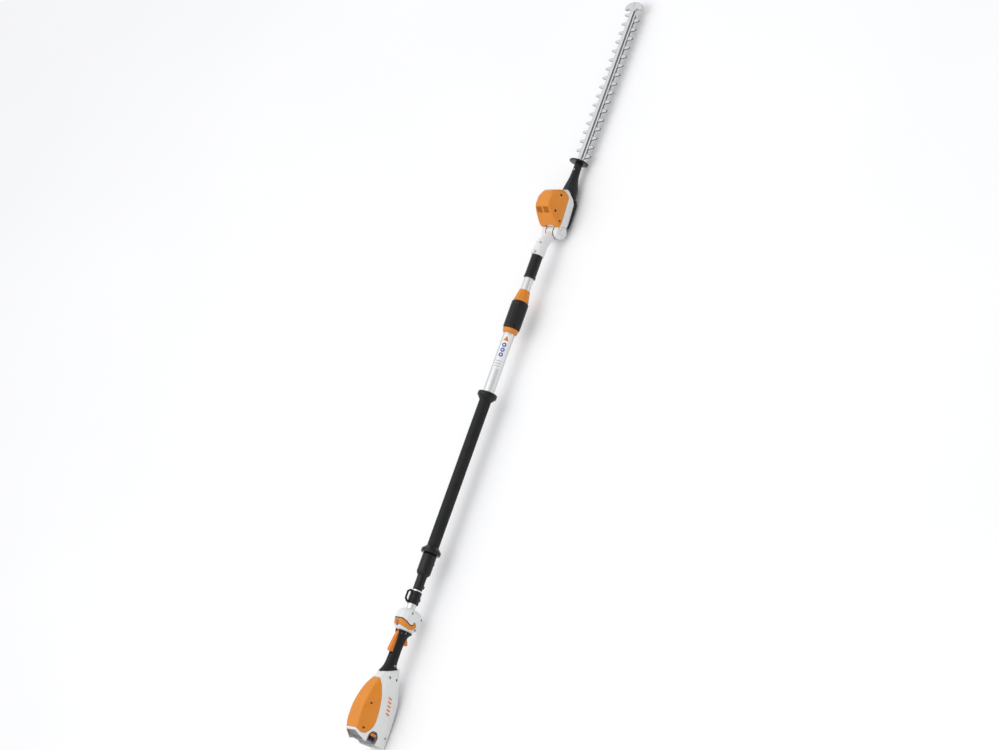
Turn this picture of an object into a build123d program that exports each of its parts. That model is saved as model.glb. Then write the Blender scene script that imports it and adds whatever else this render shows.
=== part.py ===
from build123d import *
import math
import os

# Cordless pole hedge trimmer with a telescopic shaft and a swivelling cutter head.
# Row frame: +X points at the blade tip, +Y to the tool's left, +Z up. It lies on the ground.
# The shapes are drawn with x counted from the tool's rear end and z from the shaft's centre
# line, and export() moves them so that the origin is the bottom centre of the whole tool.

# ---- driving dimensions, millimetres --------------------------------------------------
LENGTH = 2605.0          # whole tool, shaft pushed in
FLOOR_DEPTH = 68.0       # shaft centre line above the ground
WALL = 3.0               # moulded shells
GAP = 0.4                # between pieces that move past each other
FIT = 0.05               # radial clearance of a running pin or shaft
REACH = 400.0            # larger than any cross-section, for cutting halves

# shaft
OUTER_R, OUTER_BORE = 18.5, 16.7
INNER_R, INNER_BORE = 15.75, 14.25
REAR_R, REAR_BORE = 14.0, 12.0
HOSE_R = 19.6
COLLAR_R = 32.0
REAR_TUBE = (390.0, 680.0)
OUTER_TUBE = (605.0, 1436.0)
INNER_TUBE = (690.0, 1700.0)
HARNESS = (462.0, 504.0)
SMALL_SLEEVE = (509.0, 563.0)
LARGE_SLEEVE = (563.0, 632.0)
LOWER_COLLAR = (632.0, 656.0)
UPPER_COLLAR = (1162.0, 1187.0)
CLAMP_RING = (1396.0, 1410.0)
CLAMP_GRIP = (1410.4, 1506.0)
CLAMP_CONE = (1506.0, 1547.0)
FRONT_SLEEVE = (1591.0, 1670.0)

# battery and rear housing
BAY_FRONT = 152.0
BATTERY = (1.0, 148.0)
LATCH_HINGE = 35.0

# head
PIVOT_X, PIVOT_Z = 1770.0, -33.0
DRUM_R = 22.5
ARM_HALF = 17.0
EAR_IN, EAR_OUT = 18.0, 36.0
PIN_R = 5.0
CAP_R = 19.0
COVER_BOTTOM = -58.0

# drive
MODULE = 1.1
PINION_TEETH, GEAR_TEETH = 14, 42
MOTOR_X = 1836.0
CRANK_X = MOTOR_X + MODULE * (PINION_TEETH + GEAR_TEETH) / 2
CRANK_THROW = 8.0
ECCENTRIC_R = 10.0
GEAR_LOW, GEAR_HIGH = -25.0, -18.0
STATOR_TOP = 26.0

# cutter
PITCH = 33.0
TEETH = 16
FIRST_TOOTH = 2068.0
TOOTH_STAGGER = -23.0    # right-hand row, against the left-hand row
TOOTH_REACH = 38.0
SPINE_HALF = 15.0
TAIL_HALF = 7.0
SLOT_HALF = 8.8          # room for the blade tails in the nose
STROKE = 8.0             # each blade, either way
BLADE_T = 2.2
UPPER_TOP, LOWER_TOP = -35.7, -38.3
BAR_LOW, BAR_HIGH = -35.3, -31.3
BLADE_END = 2562.0
BLADE_BOLTS = [2075.0 + 4 * PITCH * 0.85 * i for i in range(5)]


# ---- plain forms ----------------------------------------------------------------------
def outline(points, radius=0.0, inset=0.0):
    """Closed flat outline, corners rounded by radius, pulled in by inset."""
    face = make_face(Polyline(*points, close=True))
    if inset:
        face = offset(face, -inset, kind=Kind.INTERSECTION)
    if radius:
        face = fillet(face.vertices(), radius)
    return face


def mirrored(points):
    """Right-hand half of a symmetric outline, completed with its left-hand half."""
    return points + [(-y, z) for y, z in reversed(points)]


def side_solid(points, half_width, radius=0.0, inset=0.0):
    """Outline in x and z, thick along y."""
    return extrude(Plane.XZ * outline(points, radius, inset), half_width, both=True)


def section_solid(points, start, stop, radius=0.0, inset=0.0):
    """Outline in y and z, run along x."""
    return extrude(Plane.YZ.offset(start) * outline(points, radius, inset), stop - start)


def plan_solid(points, low, high, radius=0.0, inset=0.0):
    """Outline in x and y, thick along z."""
    return extrude(Plane.XY.offset(low) * outline(points, radius, inset), high - low)


def plan_pair(points):
    """Symmetric plan outline from the points of its +Y edge."""
    return points + [(x, -y) for x, y in reversed(points)]


def turned(points):
    """Solid of revolution about the shaft from points of x and radius."""
    return revolve(make_face(Polyline(*points, close=True)), Axis.X)


def ring(span, outer, inner):
    start, stop = span
    return turned([(start, inner), (stop, inner), (stop, outer), (start, outer)])


def rod_x(start, stop, radius, y=0.0, z=0.0):
    return Pos((start + stop) / 2, y, z) * Rot(0, 90, 0) * Cylinder(radius, stop - start)


def rod_y(start, stop, radius, x, z):
    return Pos(x, (start + stop) / 2, z) * Rot(90, 0, 0) * Cylinder(radius, stop - start)


def rod_z(low, high, radius, x, y):
    return Pos(x, y, (low + high) / 2) * Cylinder(radius, high - low)


def block(low, high):
    size = [b - a for a, b in zip(low, high)]
    middle = [(a + b) / 2 for a, b in zip(low, high)]
    return Pos(*middle) * Box(*size)


def half(solid, side):
    """Left (+1) or right (-1) half of a solid."""
    return solid & Pos(LENGTH / 2, side * REACH / 2, 0) * Box(2 * LENGTH, REACH, 2 * REACH)


def group(solids):
    return Compound(children=list(solids))


def screw_body(length, head=3.4, shank=1.8):
    """Screw without its socket, drawn along z with the head's face at zero."""
    return Pos(0, 0, -1.2) * Cylinder(head, 2.4) + Pos(0, 0, -2.4 - length / 2) * Cylinder(shank, length)


def screws(spots):
    """Pan-head screws; a spot is the head's place, the way it faces and the shank's length."""
    made = []
    for place, facing, length in spots:
        body = screw_body(length) - Pos(0, 0, -0.8) * extrude(RegularPolygon(1.7, 6), 1.0)
        made.append(Plane(origin=place, z_dir=facing) * body)
    return made


def seats(spots):
    """Counterbored holes that take the screws of the same spots."""
    holes = []
    for place, facing, length in spots:
        hole = screw_body(length) + Pos(0, 0, 3) * Cylinder(3.4, 6)
        holes.append(Plane(origin=place, z_dir=facing) * hole)
    return group(holes)


def both_sides(spots, rise=0.0):
    """Spots (x, y, z, length) repeated on the left and right, facing out and up by rise."""
    return [((x, side * y, z), (0, side, rise), length) for x, y, z, length in spots for side in (-1, 1)]


# ---- rear housing ---------------------------------------------------------------------
HOUSING_SIDE = [
    (2, -68), (30, -67), (90, -60), (140, -54), (178, -45), (212, -33), (250, -20),
    (229, 26), (205, 40), (165, 56), (135, 66), (105, 71.5), (55, 71), (24, 66),
    (6, 45), (0, 30), (0, -30),
]
HOUSING_SECTION = mirrored([(27, 72), (43, 24), (43, -26), (31, -70)])
HOUSING_PLAN = plan_pair([(-1, 39), (30, 43), (135, 43), (190, 34), (228, 21), (252, 18)])
BATTERY_SECTION = mirrored([(25, 61), (38, 22), (38, -16), (35, -22)])
HOOD_EDGE = [
    (-10, 33), (25, 33), (45, 19), (66, 13), (105, 17), (150, 27), (182, 38), (206, 43),
    (206, 90), (-10, 90),
]
NOTCH = [(-10, -18), (26, -18), (41, -6), (41, 12), (26, 24), (-10, 24)]
HOOD_SCREWS = both_sides([(36, 35.5, 46, 1.2), (116, 34.5, 49, 1.2)], 0.36)
HOUSING_SCREWS = both_sides([(216, 24.6, 6, 8), (218, 24.0, -22, 8), (34, 36.4, -50, 8)])


def housing_form(inset=0.0):
    form = side_solid(HOUSING_SIDE, 60, 2.0, inset)
    form &= section_solid(HOUSING_SECTION, -5, 260, 5.0, inset)
    return form & plan_solid(HOUSING_PLAN, -90, 90, 0.0, inset)


def battery_bay():
    return section_solid(BATTERY_SECTION, -10, BAY_FRONT, 4.0, -GAP)


def housing_shell():
    shell = housing_form() - housing_form(WALL)
    shell -= battery_bay()
    shell -= side_solid(NOTCH, 60, 6.0)
    shell -= rod_x(225, 260, 10)
    return shell - seats(HOUSING_SCREWS)


def housing_half(side):
    white = housing_shell() - side_solid(HOOD_EDGE, 60)
    return half(white, side)


def hood():
    orange = housing_shell() & side_solid(HOOD_EDGE, 60)
    return orange - seats(HOOD_SCREWS)


def bay_frame():
    """Tray floor and bulkhead that guide the battery."""
    frame = block((14, -36, -28), (BAY_FRONT + 3, 36, -24))
    frame += block((BAY_FRONT, -36, -28), (BAY_FRONT + 3, 36, 44))
    frame &= housing_form(WALL + GAP)
    return frame - block((BAY_FRONT - 1, -14, -2), (BAY_FRONT + 4, 14, 22))


def terminal_block():
    plate = block((BAY_FRONT + 3, -18, -6), (BAY_FRONT + 9, 18, 26))
    plate += block((BAY_FRONT - 0.5, -13.5, -1.5), (BAY_FRONT + 3, 13.5, 21.5))
    for y in (-9, 0, 9):
        plate -= block((BAY_FRONT - 1, y - 1, 2), (BAY_FRONT + 2, y + 1, 18))
    return plate


def battery_case():
    start, stop = BATTERY
    case = section_solid(BATTERY_SECTION, start, stop, 4.0)
    case -= section_solid(mirrored([(22, 57), (29, 20), (29, -12), (27, -18)]), start + 4, stop - 3)
    case -= block((-1, -20, 26), (13, 20, 48))
    case += block((start, -21, 44), (start + 10, 21, 47))
    for side in (-1, 1):
        low, high = sorted((side * 31, side * 45))
        case -= block((5, low, -10), (40, high, 16))
        low, high = sorted((side * 28, side * 31))
        case += block((5, low, -12), (42, high, 18))
    for y in (-9, 0, 9):
        case -= block((stop - 4, y - 1.5, 2), (stop + 1, y + 1.5, 18))
    return case


def battery_cells():
    """Layers of round cells lying along the battery, two in line."""
    cells = []
    for z, columns in ((-6, (-18.5, 0, 18.5)), (13, (-18.5, 0, 18.5)), (32, (-10, 10))):
        for y in columns:
            cells += [rod_x(47, 81, 9.0, y, z), rod_x(82, 145, 9.0, y, z)]
    return cells


def battery_latch(side):
    """Thumb lever at the side of the battery, hinged at its front end."""
    hinge, low, high = LATCH_HINGE, -8.0, 14.0
    lever = block((9, 35.5, low), (hinge - 4, 41.5, high))
    lever += rod_z(low, high, 3.2, hinge, 37)
    lever += block((hinge - 5, 35.5, low), (hinge, 38.5, high))
    lever -= rod_z(low - 9, high + 9, 1.5 + FIT, hinge, 37)
    for rib in range(4):
        lever -= block((11 + 4 * rib, 40.8, low + 2), (13 + 4 * rib, 43, high - 2))
    return lever if side > 0 else mirror(lever, Plane.XZ)


def latch_pins():
    return [rod_z(-10, 16, 1.5, LATCH_HINGE, side * 37) for side in (-1, 1)]


def control_board():
    board = block((166, -22, -10), (212, 22, -8.4))
    for x, y in ((176, -10), (176, 10), (196, 0)):
        board += block((x - 5, y - 5, -8.4), (x + 5, y + 5, 4))
    return board


# ---- handle ---------------------------------------------------------------------------
# stations: x, half width, half height, centre height
HANDLE_STATIONS = [
    (222, 19, 26, 2), (262, 17.2, 20, 0), (302, 16.5, 17.5, 0), (342, 16.8, 18.5, -1),
    (374, 20, 25, -2),
]
HANDLE_REGION = [(229, 60), (229, 26), (250, -20), (250, -60), (372, -60), (372, 60)]
TRIGGER_PIN = (360.0, -11.0)
LOCKOUT_PIN = (362.0, 12.0)
HANDLE_SCREWS = both_sides([(257, 16.4, -5, 8), (366, 17.6, -1, 8)])


def handle_form(inset=0.0):
    faces = []
    for x, wide, high, middle in HANDLE_STATIONS:
        ellipse = Ellipse(wide - inset, high - inset)
        faces.append(Plane(origin=(x, 0, middle), x_dir=(0, 1, 0), z_dir=(1, 0, 0)) * ellipse)
    return loft(faces)


def handle_shell():
    shell = (handle_form() - handle_form(WALL)) & side_solid(HANDLE_REGION, 60)
    shell -= block((326, -6.5, -40), (371, 6.5, -8))
    shell -= block((292, -7.5, 8), (371, 7.5, 40))
    return shell - seats(HANDLE_SCREWS)


def handle_half(side):
    shell = handle_shell()
    for x, z in (TRIGGER_PIN, LOCKOUT_PIN):
        shell -= rod_y(-30, 30, 1.5, x, z)
    return half(shell, side)


def lever_pins():
    reach = {TRIGGER_PIN: 17.0, LOCKOUT_PIN: 16.0}
    return [rod_y(-reach[spot], reach[spot], 1.5, *spot) for spot in (TRIGGER_PIN, LOCKOUT_PIN)]


def trigger():
    points = [(332, -31), (336, -35), (346, -30), (358, -22), (366, -16), (365, -7), (356, -5),
              (344, -8), (334, -12)]
    lever = side_solid(points, 5.5, 1.5)
    return lever - rod_y(-10, 10, 1.5 + FIT, *TRIGGER_PIN)


def lockout_lever():
    points = [(297, 12.5), (296, 26), (300, 30), (318, 28), (345, 24), (366, 19), (368, 11),
              (360, 8), (345, 11), (320, 13)]
    lever = side_solid(points, 6.5, 1.5)
    return lever - rod_y(-10, 10, 1.5 + FIT, *LOCKOUT_PIN)


def lever_springs():
    """Torsion springs round the lever pins, drawn as their coils."""
    coils = []
    for spot, side in ((TRIGGER_PIN, 1), (LOCKOUT_PIN, -1)):
        low, high = sorted((side * 6.8, side * 7.8))
        coils.append(rod_y(low, high, 2.2, *spot) - rod_y(low - 1, high + 1, 1.7, *spot))
    return coils


def trigger_switch():
    body = block((306, -5, -10), (326, 5, 0))
    return body + block((312, -2, -12), (316, 2, -10))


# ---- control housing ------------------------------------------------------------------
CONTROL_SIDE = [
    (372, -22), (382, -38), (400, -46), (422, -51), (438, -45), (445, -28), (445, 14),
    (436, 31), (414, 36), (390, 35), (378, 28), (372, 16),
]
CONTROL_SECTION = mirrored([(15, 36), (27, 24), (30, -8), (26, -38), (13, -51)])
CONTROL_PLAN = plan_pair([(370, 20), (386, 27), (406, 30), (430, 28), (446, 20)])
CONTROL_BAND = [
    (378, 60), (400, 60), (403, 30), (411, 12), (424, -4), (427, -20), (419, -24), (410, -14),
    (400, 4), (388, 22), (378, 34),
]
CONTROL_SCREWS = both_sides([(430, 26.2, 8, 8), (424, 25.4, -36, 8), (386, 24.8, -26, 8)])


def control_form(inset=0.0):
    form = side_solid(CONTROL_SIDE, 50, 4.0, inset)
    form &= section_solid(CONTROL_SECTION, 360, 450, 6.0, inset)
    return form & plan_solid(CONTROL_PLAN, -60, 60, 0.0, inset)


def latch_slot(extra=0.0):
    return block((382 - extra, -5 - extra, 20), (399 + extra, 5 + extra, 45))


def control_trim():
    """Coloured band let into the shell from the top down both sides."""
    band = (control_form() - control_form(1.5)) & side_solid(CONTROL_BAND, 50, 3.0)
    return band - latch_slot(1.0)


def control_half(side):
    shell = control_form() - control_form(WALL) - control_trim()
    shell -= rod_x(360, 450, REAR_R)
    shell -= block((366, -17, -12), (380, 17, 20))
    shell -= latch_slot(1.0)
    return half(shell - seats(CONTROL_SCREWS), side)


def retaining_latch():
    """Small slider in the top of the control housing."""
    slider = block((383.5, -4.5, 26), (391, 4.5, 36))
    return slider + side_solid([(383.5, 36), (391, 36), (387, 40), (384.5, 40)], 4.5)


# ---- tubes and sleeves ----------------------------------------------------------------
def eyelet(start, stop, top, reach):
    """Small strap eye hanging under a sleeve."""
    middle = (start + stop) / 2
    tab = side_solid([(start, top), (stop, top), (stop - 3, top - reach), (start + 3, top - reach)],
                     3.0, 1.0)
    return tab - rod_y(-10, 10, 2.6, middle, top - reach * 0.55)


HARNESS_SCREWS = [((x, -16.4, -7.8), (0, -0.9, -0.43), 1.2) for x in (470, 496)]


def harness_clamp():
    """Ring round the rear tube with a carrying loop on top and a strap eye below."""
    start, stop = HARNESS
    clamp = rod_x(start, stop, OUTER_R)
    clamp += side_solid([(start + 1, 10), (stop - 1, 10), (stop + 1, 26), (stop - 8, 37),
                         (start + 8, 37), (start - 1, 26)], 3.0)
    clamp -= side_solid([(start + 6, 20), (stop - 6, 20), (stop - 6, 26), (stop - 11, 32),
                         (start + 11, 32), (start + 6, 26)], 10, 1.5)
    clamp += eyelet(start + 12, stop - 12, -16, 12.5)
    clamp -= rod_x(start - 5, stop + 5, REAR_R)
    return clamp - seats(HARNESS_SCREWS)


def tube_sleeve():
    """Stepped sleeve that joins the rear tube to the outer tube, with two strap eyes."""
    start, stop = LARGE_SLEEVE
    sleeve = turned([
        (SMALL_SLEEVE[0], REAR_R), (OUTER_TUBE[0], REAR_R), (OUTER_TUBE[0], OUTER_R),
        (stop, OUTER_R), (stop, 21.5), (stop - 4, 23), (start + 4, 23), (start, 21),
        (start, 15.5), (SMALL_SLEEVE[0], 15.5),
    ])
    sleeve += eyelet(515, 536, -14.5, 10) - rod_x(500, 570, 15)
    return sleeve + (eyelet(596, 617, -22, 10) - rod_x(560, 640, 22.5))


def tube_bush():
    return ring((607, 676), OUTER_BORE, REAR_R)


def lower_collar():
    start, stop = LOWER_COLLAR
    return turned([
        (start, OUTER_R), (stop, OUTER_R), (stop, 21), (stop - 3, 24), (start + 15, COLLAR_R - 2),
        (start + 13, COLLAR_R), (start + 2, COLLAR_R), (start, COLLAR_R - 2),
    ])


def upper_collar():
    start, stop = UPPER_COLLAR
    return turned([
        (start, OUTER_R), (stop, OUTER_R), (stop, COLLAR_R - 2), (stop - 2, COLLAR_R),
        (stop - 13, COLLAR_R), (stop - 15, COLLAR_R - 2), (start + 3, 24), (start, 21),
    ])


# ---- telescope clamp ------------------------------------------------------------------
def clamp_ring():
    start, stop = CLAMP_RING
    return turned([(start, OUTER_R), (stop, OUTER_R), (stop, 26), (start + 4, 24.5), (start, 22)])


def clamp_collet():
    """Slotted sleeve fixed on the outer tube, closed on the inner tube by the grip."""
    stop = 1499.0
    sleeve = turned([
        (CLAMP_RING[1], OUTER_R), (OUTER_TUBE[1], OUTER_R), (OUTER_TUBE[1], INNER_R + 0.1),
        (stop, INNER_R + 0.1), (stop, 18.5), (stop - 14, 21), (CLAMP_RING[1], 21),
    ])
    for turn in range(2):
        sleeve -= Rot(90 * turn, 0, 0) * block((1455, -1, -30), (stop + 1, 1, 30))
    return sleeve


def clamp_grip():
    start, stop = CLAMP_GRIP
    grip = turned([
        (start, 21 + GAP), (1500, 21 + GAP), (1500, INNER_R + GAP), (stop, INNER_R + GAP),
        (stop, 25), (stop - 4, 28), (start + 5, 28), (start, 26),
    ])
    for rib in range(12):
        groove = Rot(30 * rib, 0, 0) * rod_x(start + 12, stop - 10, 2.2, 0, 28.6)
        grip -= groove
    return grip


def clamp_cone():
    start, stop = CLAMP_CONE
    bore = INNER_R + GAP
    return turned([
        (start, bore), (stop, bore), (stop, bore + 1.6), (stop - 6, bore + 3), (stop - 7, bore + 2),
        (stop - 9, bore + 2), (stop - 10, bore + 3.4), (start, 25),
    ])


# ---- inner shaft and swivel arm -------------------------------------------------------
def guide_bush():
    return ring((INNER_TUBE[0], INNER_TUBE[0] + 45), OUTER_BORE - 0.1, INNER_R)


def front_sleeve():
    start, stop = FRONT_SLEEVE
    return turned([
        (start, INNER_R), (stop, INNER_R), (stop, 18), (stop - 1, 18.5), (start + 7, 18.5),
        (start + 6, 19.6), (start + 1, 19.6), (start, 18.6),
    ])


ARM_SCREWS = [((x, -7.5, z), (0, -1, 0), 12.0) for x, z in ((1677, 23), (1715, 14))]


def arm_outline():
    return [(1676, 19), (1692, 19), (1752, -11), (1772, -24), (1772, -44), (1744, -47),
            (1722, -38), (1694, -20), (1676, -19)]


def swivel_arm():
    arm = turned([(1670, INNER_R), (1700, INNER_R), (1700, 0), (1716, 0), (1716, 12),
                  (1706, 20.5), (1673, 20.5), (1670, 19.5)])
    neck = side_solid(arm_outline(), ARM_HALF, 3.0)
    arm += neck - rod_x(1660, 1700, INNER_R + 1)
    arm += rod_y(-ARM_HALF, ARM_HALF, DRUM_R, PIVOT_X, PIVOT_Z)
    for x in (1677, 1715):
        top = 27 if x < 1700 else 19
        lug = block((x - 5, -8, top - 16), (x + 5, 8, top)) - rod_x(1660, 1700, INNER_R + 1)
        arm += lug
    arm -= rod_y(-30, 30, PIN_R + FIT, PIVOT_X, PIVOT_Z)
    return arm - seats(ARM_SCREWS)


# ---- cutter head ----------------------------------------------------------------------
HEAD_SIDE = [
    (1779, -46), (1779, -6), (1785, 5), (1812, 41), (1832, 56), (1866, 56), (1885, 47),
    (1899, 20), (1914, -14), (1890, -46),
]
HEAD_SECTION = mirrored([(29, 57), (45, -6), (45, -22), (38, -47)])
HEAD_PLAN = plan_pair([(1777, 41), (1795, 45), (1856, 45), (1916, 31)])
NOSE_REGION = [(1917, -6), (1914, -14), (1890, -46), (1890, -70), (2100, -70), (2100, -6)]
NOSE_STATIONS = [
    (1884, 29, 22.5, -36), (1915, 27, 22, -37), (1938, 21.5, 19, -37), (1962, 14.8, 14.5, -34),
    (1990, 12.8, 12.5, -33.4), (2018, 12.4, 12.2, -33.4),
]
COVER_SIDE = [(1792, -46), (1792, COVER_BOTTOM + 5), (1799, COVER_BOTTOM), (1884, COVER_BOTTOM),
              (1890, COVER_BOTTOM + 2), (1890, -46)]
HOOD_LOW = -12.0
HEAD_SCREWS = both_sides([(1797, 41.6, -3, 5), (1821, 36.0, 25, 5), (1878, 31.6, 21, 5)], 0.25)
NOSE_SCREW = [((1992, 0, -21.6), (0, 0, 1), 4.0)]


def head_form(inset=0.0):
    form = side_solid(HEAD_SIDE, 60, 3.0, inset)
    form &= section_solid(HEAD_SECTION, 1770, 1920, 5.0, inset)
    return form & plan_solid(HEAD_PLAN, -80, 80, 0.0, inset)


def head_shell():
    return head_form() - head_form(WALL) - seats(HEAD_SCREWS)


def drum_notch():
    """Room for the arm's drum between the ears."""
    return rod_y(-EAR_IN, EAR_IN, DRUM_R + 0.8, PIVOT_X, PIVOT_Z)


def motor_hood():
    upper = block((1760, -60, HOOD_LOW), (1930, 60, 80))
    return (head_shell() & upper) - drum_notch()


def motor_housing():
    """Lower shell with the two ears that carry the pivot."""
    lower = block((1760, -60, -60), (1930, 60, HOOD_LOW))
    shell = head_shell() & lower
    shell -= plan_solid([(1795, -26), (1886, -26), (1886, 26), (1795, 26)], -50, -42)
    for side in (-1, 1):
        low, high = sorted((side * EAR_IN, side * EAR_OUT))
        ear = rod_y(low, high, DRUM_R, PIVOT_X, PIVOT_Z)
        ear += block((PIVOT_X, low, -46), (PIVOT_X + 16, high, -14))
        shell += ear
    shell -= rod_y(-60, 60, PIN_R, PIVOT_X, PIVOT_Z)
    shell -= rod_y(-60, -23, 9 + GAP, PIVOT_X, PIVOT_Z)
    shell -= rod_y(-60, -EAR_OUT, CAP_R, PIVOT_X, PIVOT_Z) + rod_y(EAR_OUT, 60, CAP_R, PIVOT_X, PIVOT_Z)
    shell -= block((1880, -27, -45), (1930, 27, -30))
    return shell - drum_notch()


def pivot_pin():
    return rod_y(-23, EAR_OUT, PIN_R, PIVOT_X, PIVOT_Z)


def pivot_caps():
    """End discs of the pivot: a ring round the button, and a plain cap."""
    near = rod_y(-38, -EAR_OUT, CAP_R, PIVOT_X, PIVOT_Z) - rod_y(-39, -30, 9 + GAP, PIVOT_X, PIVOT_Z)
    far = rod_y(EAR_OUT, 38, CAP_R, PIVOT_X, PIVOT_Z)
    return [near, far]


def lock_button():
    return rod_y(-38.5, -33, 9, PIVOT_X, PIVOT_Z)


def nose_form(inset=0.0):
    faces = []
    for x, wide, high, middle in NOSE_STATIONS:
        section = RectangleRounded(2 * (wide - inset), 2 * (high - inset), 0.45 * (high - inset))
        plane = Plane(origin=(x, 0, middle), x_dir=(0, 1, 0), z_dir=(1, 0, 0))
        faces.append(plane * section)
    return loft(faces)


def nose_cavity():
    plan = plan_pair([(1880, 27), (1892, 26), (1906, 22), (1925, SLOT_HALF), (2040, SLOT_HALF)])
    return plan_solid(plan, -42, BAR_LOW)


def nose_housing():
    nose = nose_form() & side_solid(NOSE_REGION, 60)
    return nose - nose_cavity() - guide_bar() - seats(NOSE_SCREW)


def gear_cover():
    cover = side_solid(COVER_SIDE, 34, 2.0) & plan_solid(HEAD_PLAN, -80, 80, 0.0, 8.0)
    pocket = block((1800, -28, COVER_BOTTOM + WALL), (1884, 28, -44))
    return cover - pocket + (rod_z(-57, -47, 12, CRANK_X, 0) - rod_z(-55, -40, 8, CRANK_X, 0))


def gear_plate():
    """Metal plate between motor and gears that carries two of the bearings."""
    plate = plan_solid(plan_pair([(1790, 26), (1800, 34), (1870, 34), (1896, 22)]), -13, -9.5)
    plate -= rod_z(-20, 0, 6.5, MOTOR_X, 0)
    plate -= rod_z(-20, 0, 8, CRANK_X, 0)
    return plate


def motor_stator():
    can = rod_z(-8, STATOR_TOP, 23, MOTOR_X, 0) - rod_z(-9, STATOR_TOP + 1, 15, MOTOR_X, 0)
    for slot in range(9):
        turn = Pos(MOTOR_X, 0, 0) * Rot(0, 0, 40 * slot)
        can -= turn * block((14, -2.2, -9), (19.5, 2.2, STATOR_TOP))
    cap = rod_z(STATOR_TOP, STATOR_TOP + 4, 23, MOTOR_X, 0)
    return can + cap - rod_z(STATOR_TOP - 1, STATOR_TOP + 5, 6.5, MOTOR_X, 0)


def motor_rotor():
    rotor = rod_z(-6, STATOR_TOP - 2, 14, MOTOR_X, 0)
    rotor += rod_z(GEAR_LOW - 1, STATOR_TOP + 4, 2.5, MOTOR_X, 0)
    return rotor + gear(PINION_TEETH, GEAR_LOW, GEAR_HIGH, MOTOR_X, 0.0)


def bearing(low, high, x, bore, outer):
    return rod_z(low, high, outer, x, 0) - rod_z(low - 1, high + 1, bore + FIT, x, 0)


def head_bearings():
    return [
        bearing(-13, -9.5, MOTOR_X, 2.5, 6.5),
        bearing(STATOR_TOP, STATOR_TOP + 4, MOTOR_X, 2.5, 6.5),
        bearing(-13, -9.5, CRANK_X, 4.0, 8.0),
        bearing(-55, -50, CRANK_X, 4.0, 8.0),
    ]


def involute_flank(base, tip, steps=7):
    """Radius and swept angle of an involute from its base circle to the tip circle."""
    flank = []
    last = math.sqrt((tip / base) ** 2 - 1)
    for step in range(steps):
        roll = last * step / (steps - 1)
        flank.append((base * math.sqrt(1 + roll * roll), roll - math.atan(roll)))
    return flank


def gear(teeth, low, high, x, phase):
    """Spur gear with involute teeth, 25 degree pressure angle, thinned for backlash."""
    pressure = math.radians(25)
    pitch_r = MODULE * teeth / 2
    base = pitch_r * math.cos(pressure)
    root = pitch_r - 1.3 * MODULE
    tip = pitch_r + 0.7 * MODULE
    backlash = 0.2
    half_angle = math.pi / (2 * teeth) - backlash / pitch_r + math.tan(pressure) - pressure
    points = []
    for tooth in range(teeth):
        centre = 2 * math.pi * tooth / teeth + phase
        flank = involute_flank(max(base, root), tip)
        rising = [(r, centre - half_angle + turn) for r, turn in flank]
        falling = [(r, centre + half_angle - turn) for r, turn in reversed(flank)]
        foot = [(root, centre - half_angle)] if root < base else []
        heel = [(root, centre + half_angle)] if root < base else []
        points += foot + rising + falling + heel
    flat = [(x + r * math.cos(a), r * math.sin(a)) for r, a in points]
    return plan_solid(flat, low, high)


def crank_gear():
    phase = math.pi / GEAR_TEETH * (1 - GEAR_TEETH % 2)
    wheel = gear(GEAR_TEETH, GEAR_LOW + 0.5, GEAR_HIGH - 0.5, CRANK_X, phase)
    wheel += rod_z(-54.5, -9.8, 4.0, CRANK_X, 0)
    wheel += rod_z(-37.7, -33, ECCENTRIC_R, CRANK_X, CRANK_THROW)
    wheel += rod_z(-43, -38.5, ECCENTRIC_R, CRANK_X, -CRANK_THROW)
    return wheel


# ---- cutter ---------------------------------------------------------------------------
def tooth(x, side):
    """One tooth: a long trapezium leaning forward, its tip cut square."""
    root, tip = SPINE_HALF - 1, TOOTH_REACH
    points = [(x - 8.5, side * root), (x - 3.2, side * tip), (x + 3.2, side * tip),
              (x + 8.5, side * root)]
    return points


def blade(top):
    low = top - BLADE_T
    plan = plan_pair([(2032, TAIL_HALF), (2040, SPINE_HALF), (BLADE_END - 6, SPINE_HALF),
                      (BLADE_END, 8)])
    steel = plan_solid(plan, low, top)
    for index in range(TEETH):
        for side in (-1, 1):
            shift = TOOTH_STAGGER if side < 0 else 0.0
            steel += plan_solid(tooth(FIRST_TOOTH + shift + PITCH * index, side), low, top)
    ring_in, ring_out = ECCENTRIC_R + CRANK_THROW + STROKE + 0.8, 30.0
    steel += block((CRANK_X + 28, -TAIL_HALF, low), (2036, TAIL_HALF, top))
    steel += rod_z(low, top, ring_out, CRANK_X, 0)
    steel -= rod_z(low - 1, top + 1, ring_in, CRANK_X, 0)
    for x in BLADE_BOLTS:
        length, wide = 2 * STROKE + 6.8, 6.8
        slot = extrude(Plane.XY.offset(low - 1) * Pos(x, 0) * SlotOverall(length, wide), BLADE_T + 2)
        steel -= slot
    return steel


def guide_bar():
    plan = plan_pair([(1965, 7.5), (2030, 7.5), (2036, 15), (2572, 15), (2584, 7)])
    return plan_solid(plan, BAR_LOW, BAR_HIGH)


def bar_with_holes():
    bar = guide_bar()
    for x in BLADE_BOLTS:
        bar -= rod_z(BAR_LOW - 1, BAR_HIGH + 1, 3.0, x, 0)
    return bar


def blade_bolts():
    low = LOWER_TOP - BLADE_T - 0.5
    return [
        rod_z(low, BAR_HIGH, 3.0, x, 0) + rod_z(low - 2.4, low, 6.0, x, 0)
        + extrude(Plane.XY.offset(BAR_HIGH) * Pos(x, 0) * RegularPolygon(5.4, 6), 3.2)
        for x in BLADE_BOLTS
    ]


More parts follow.
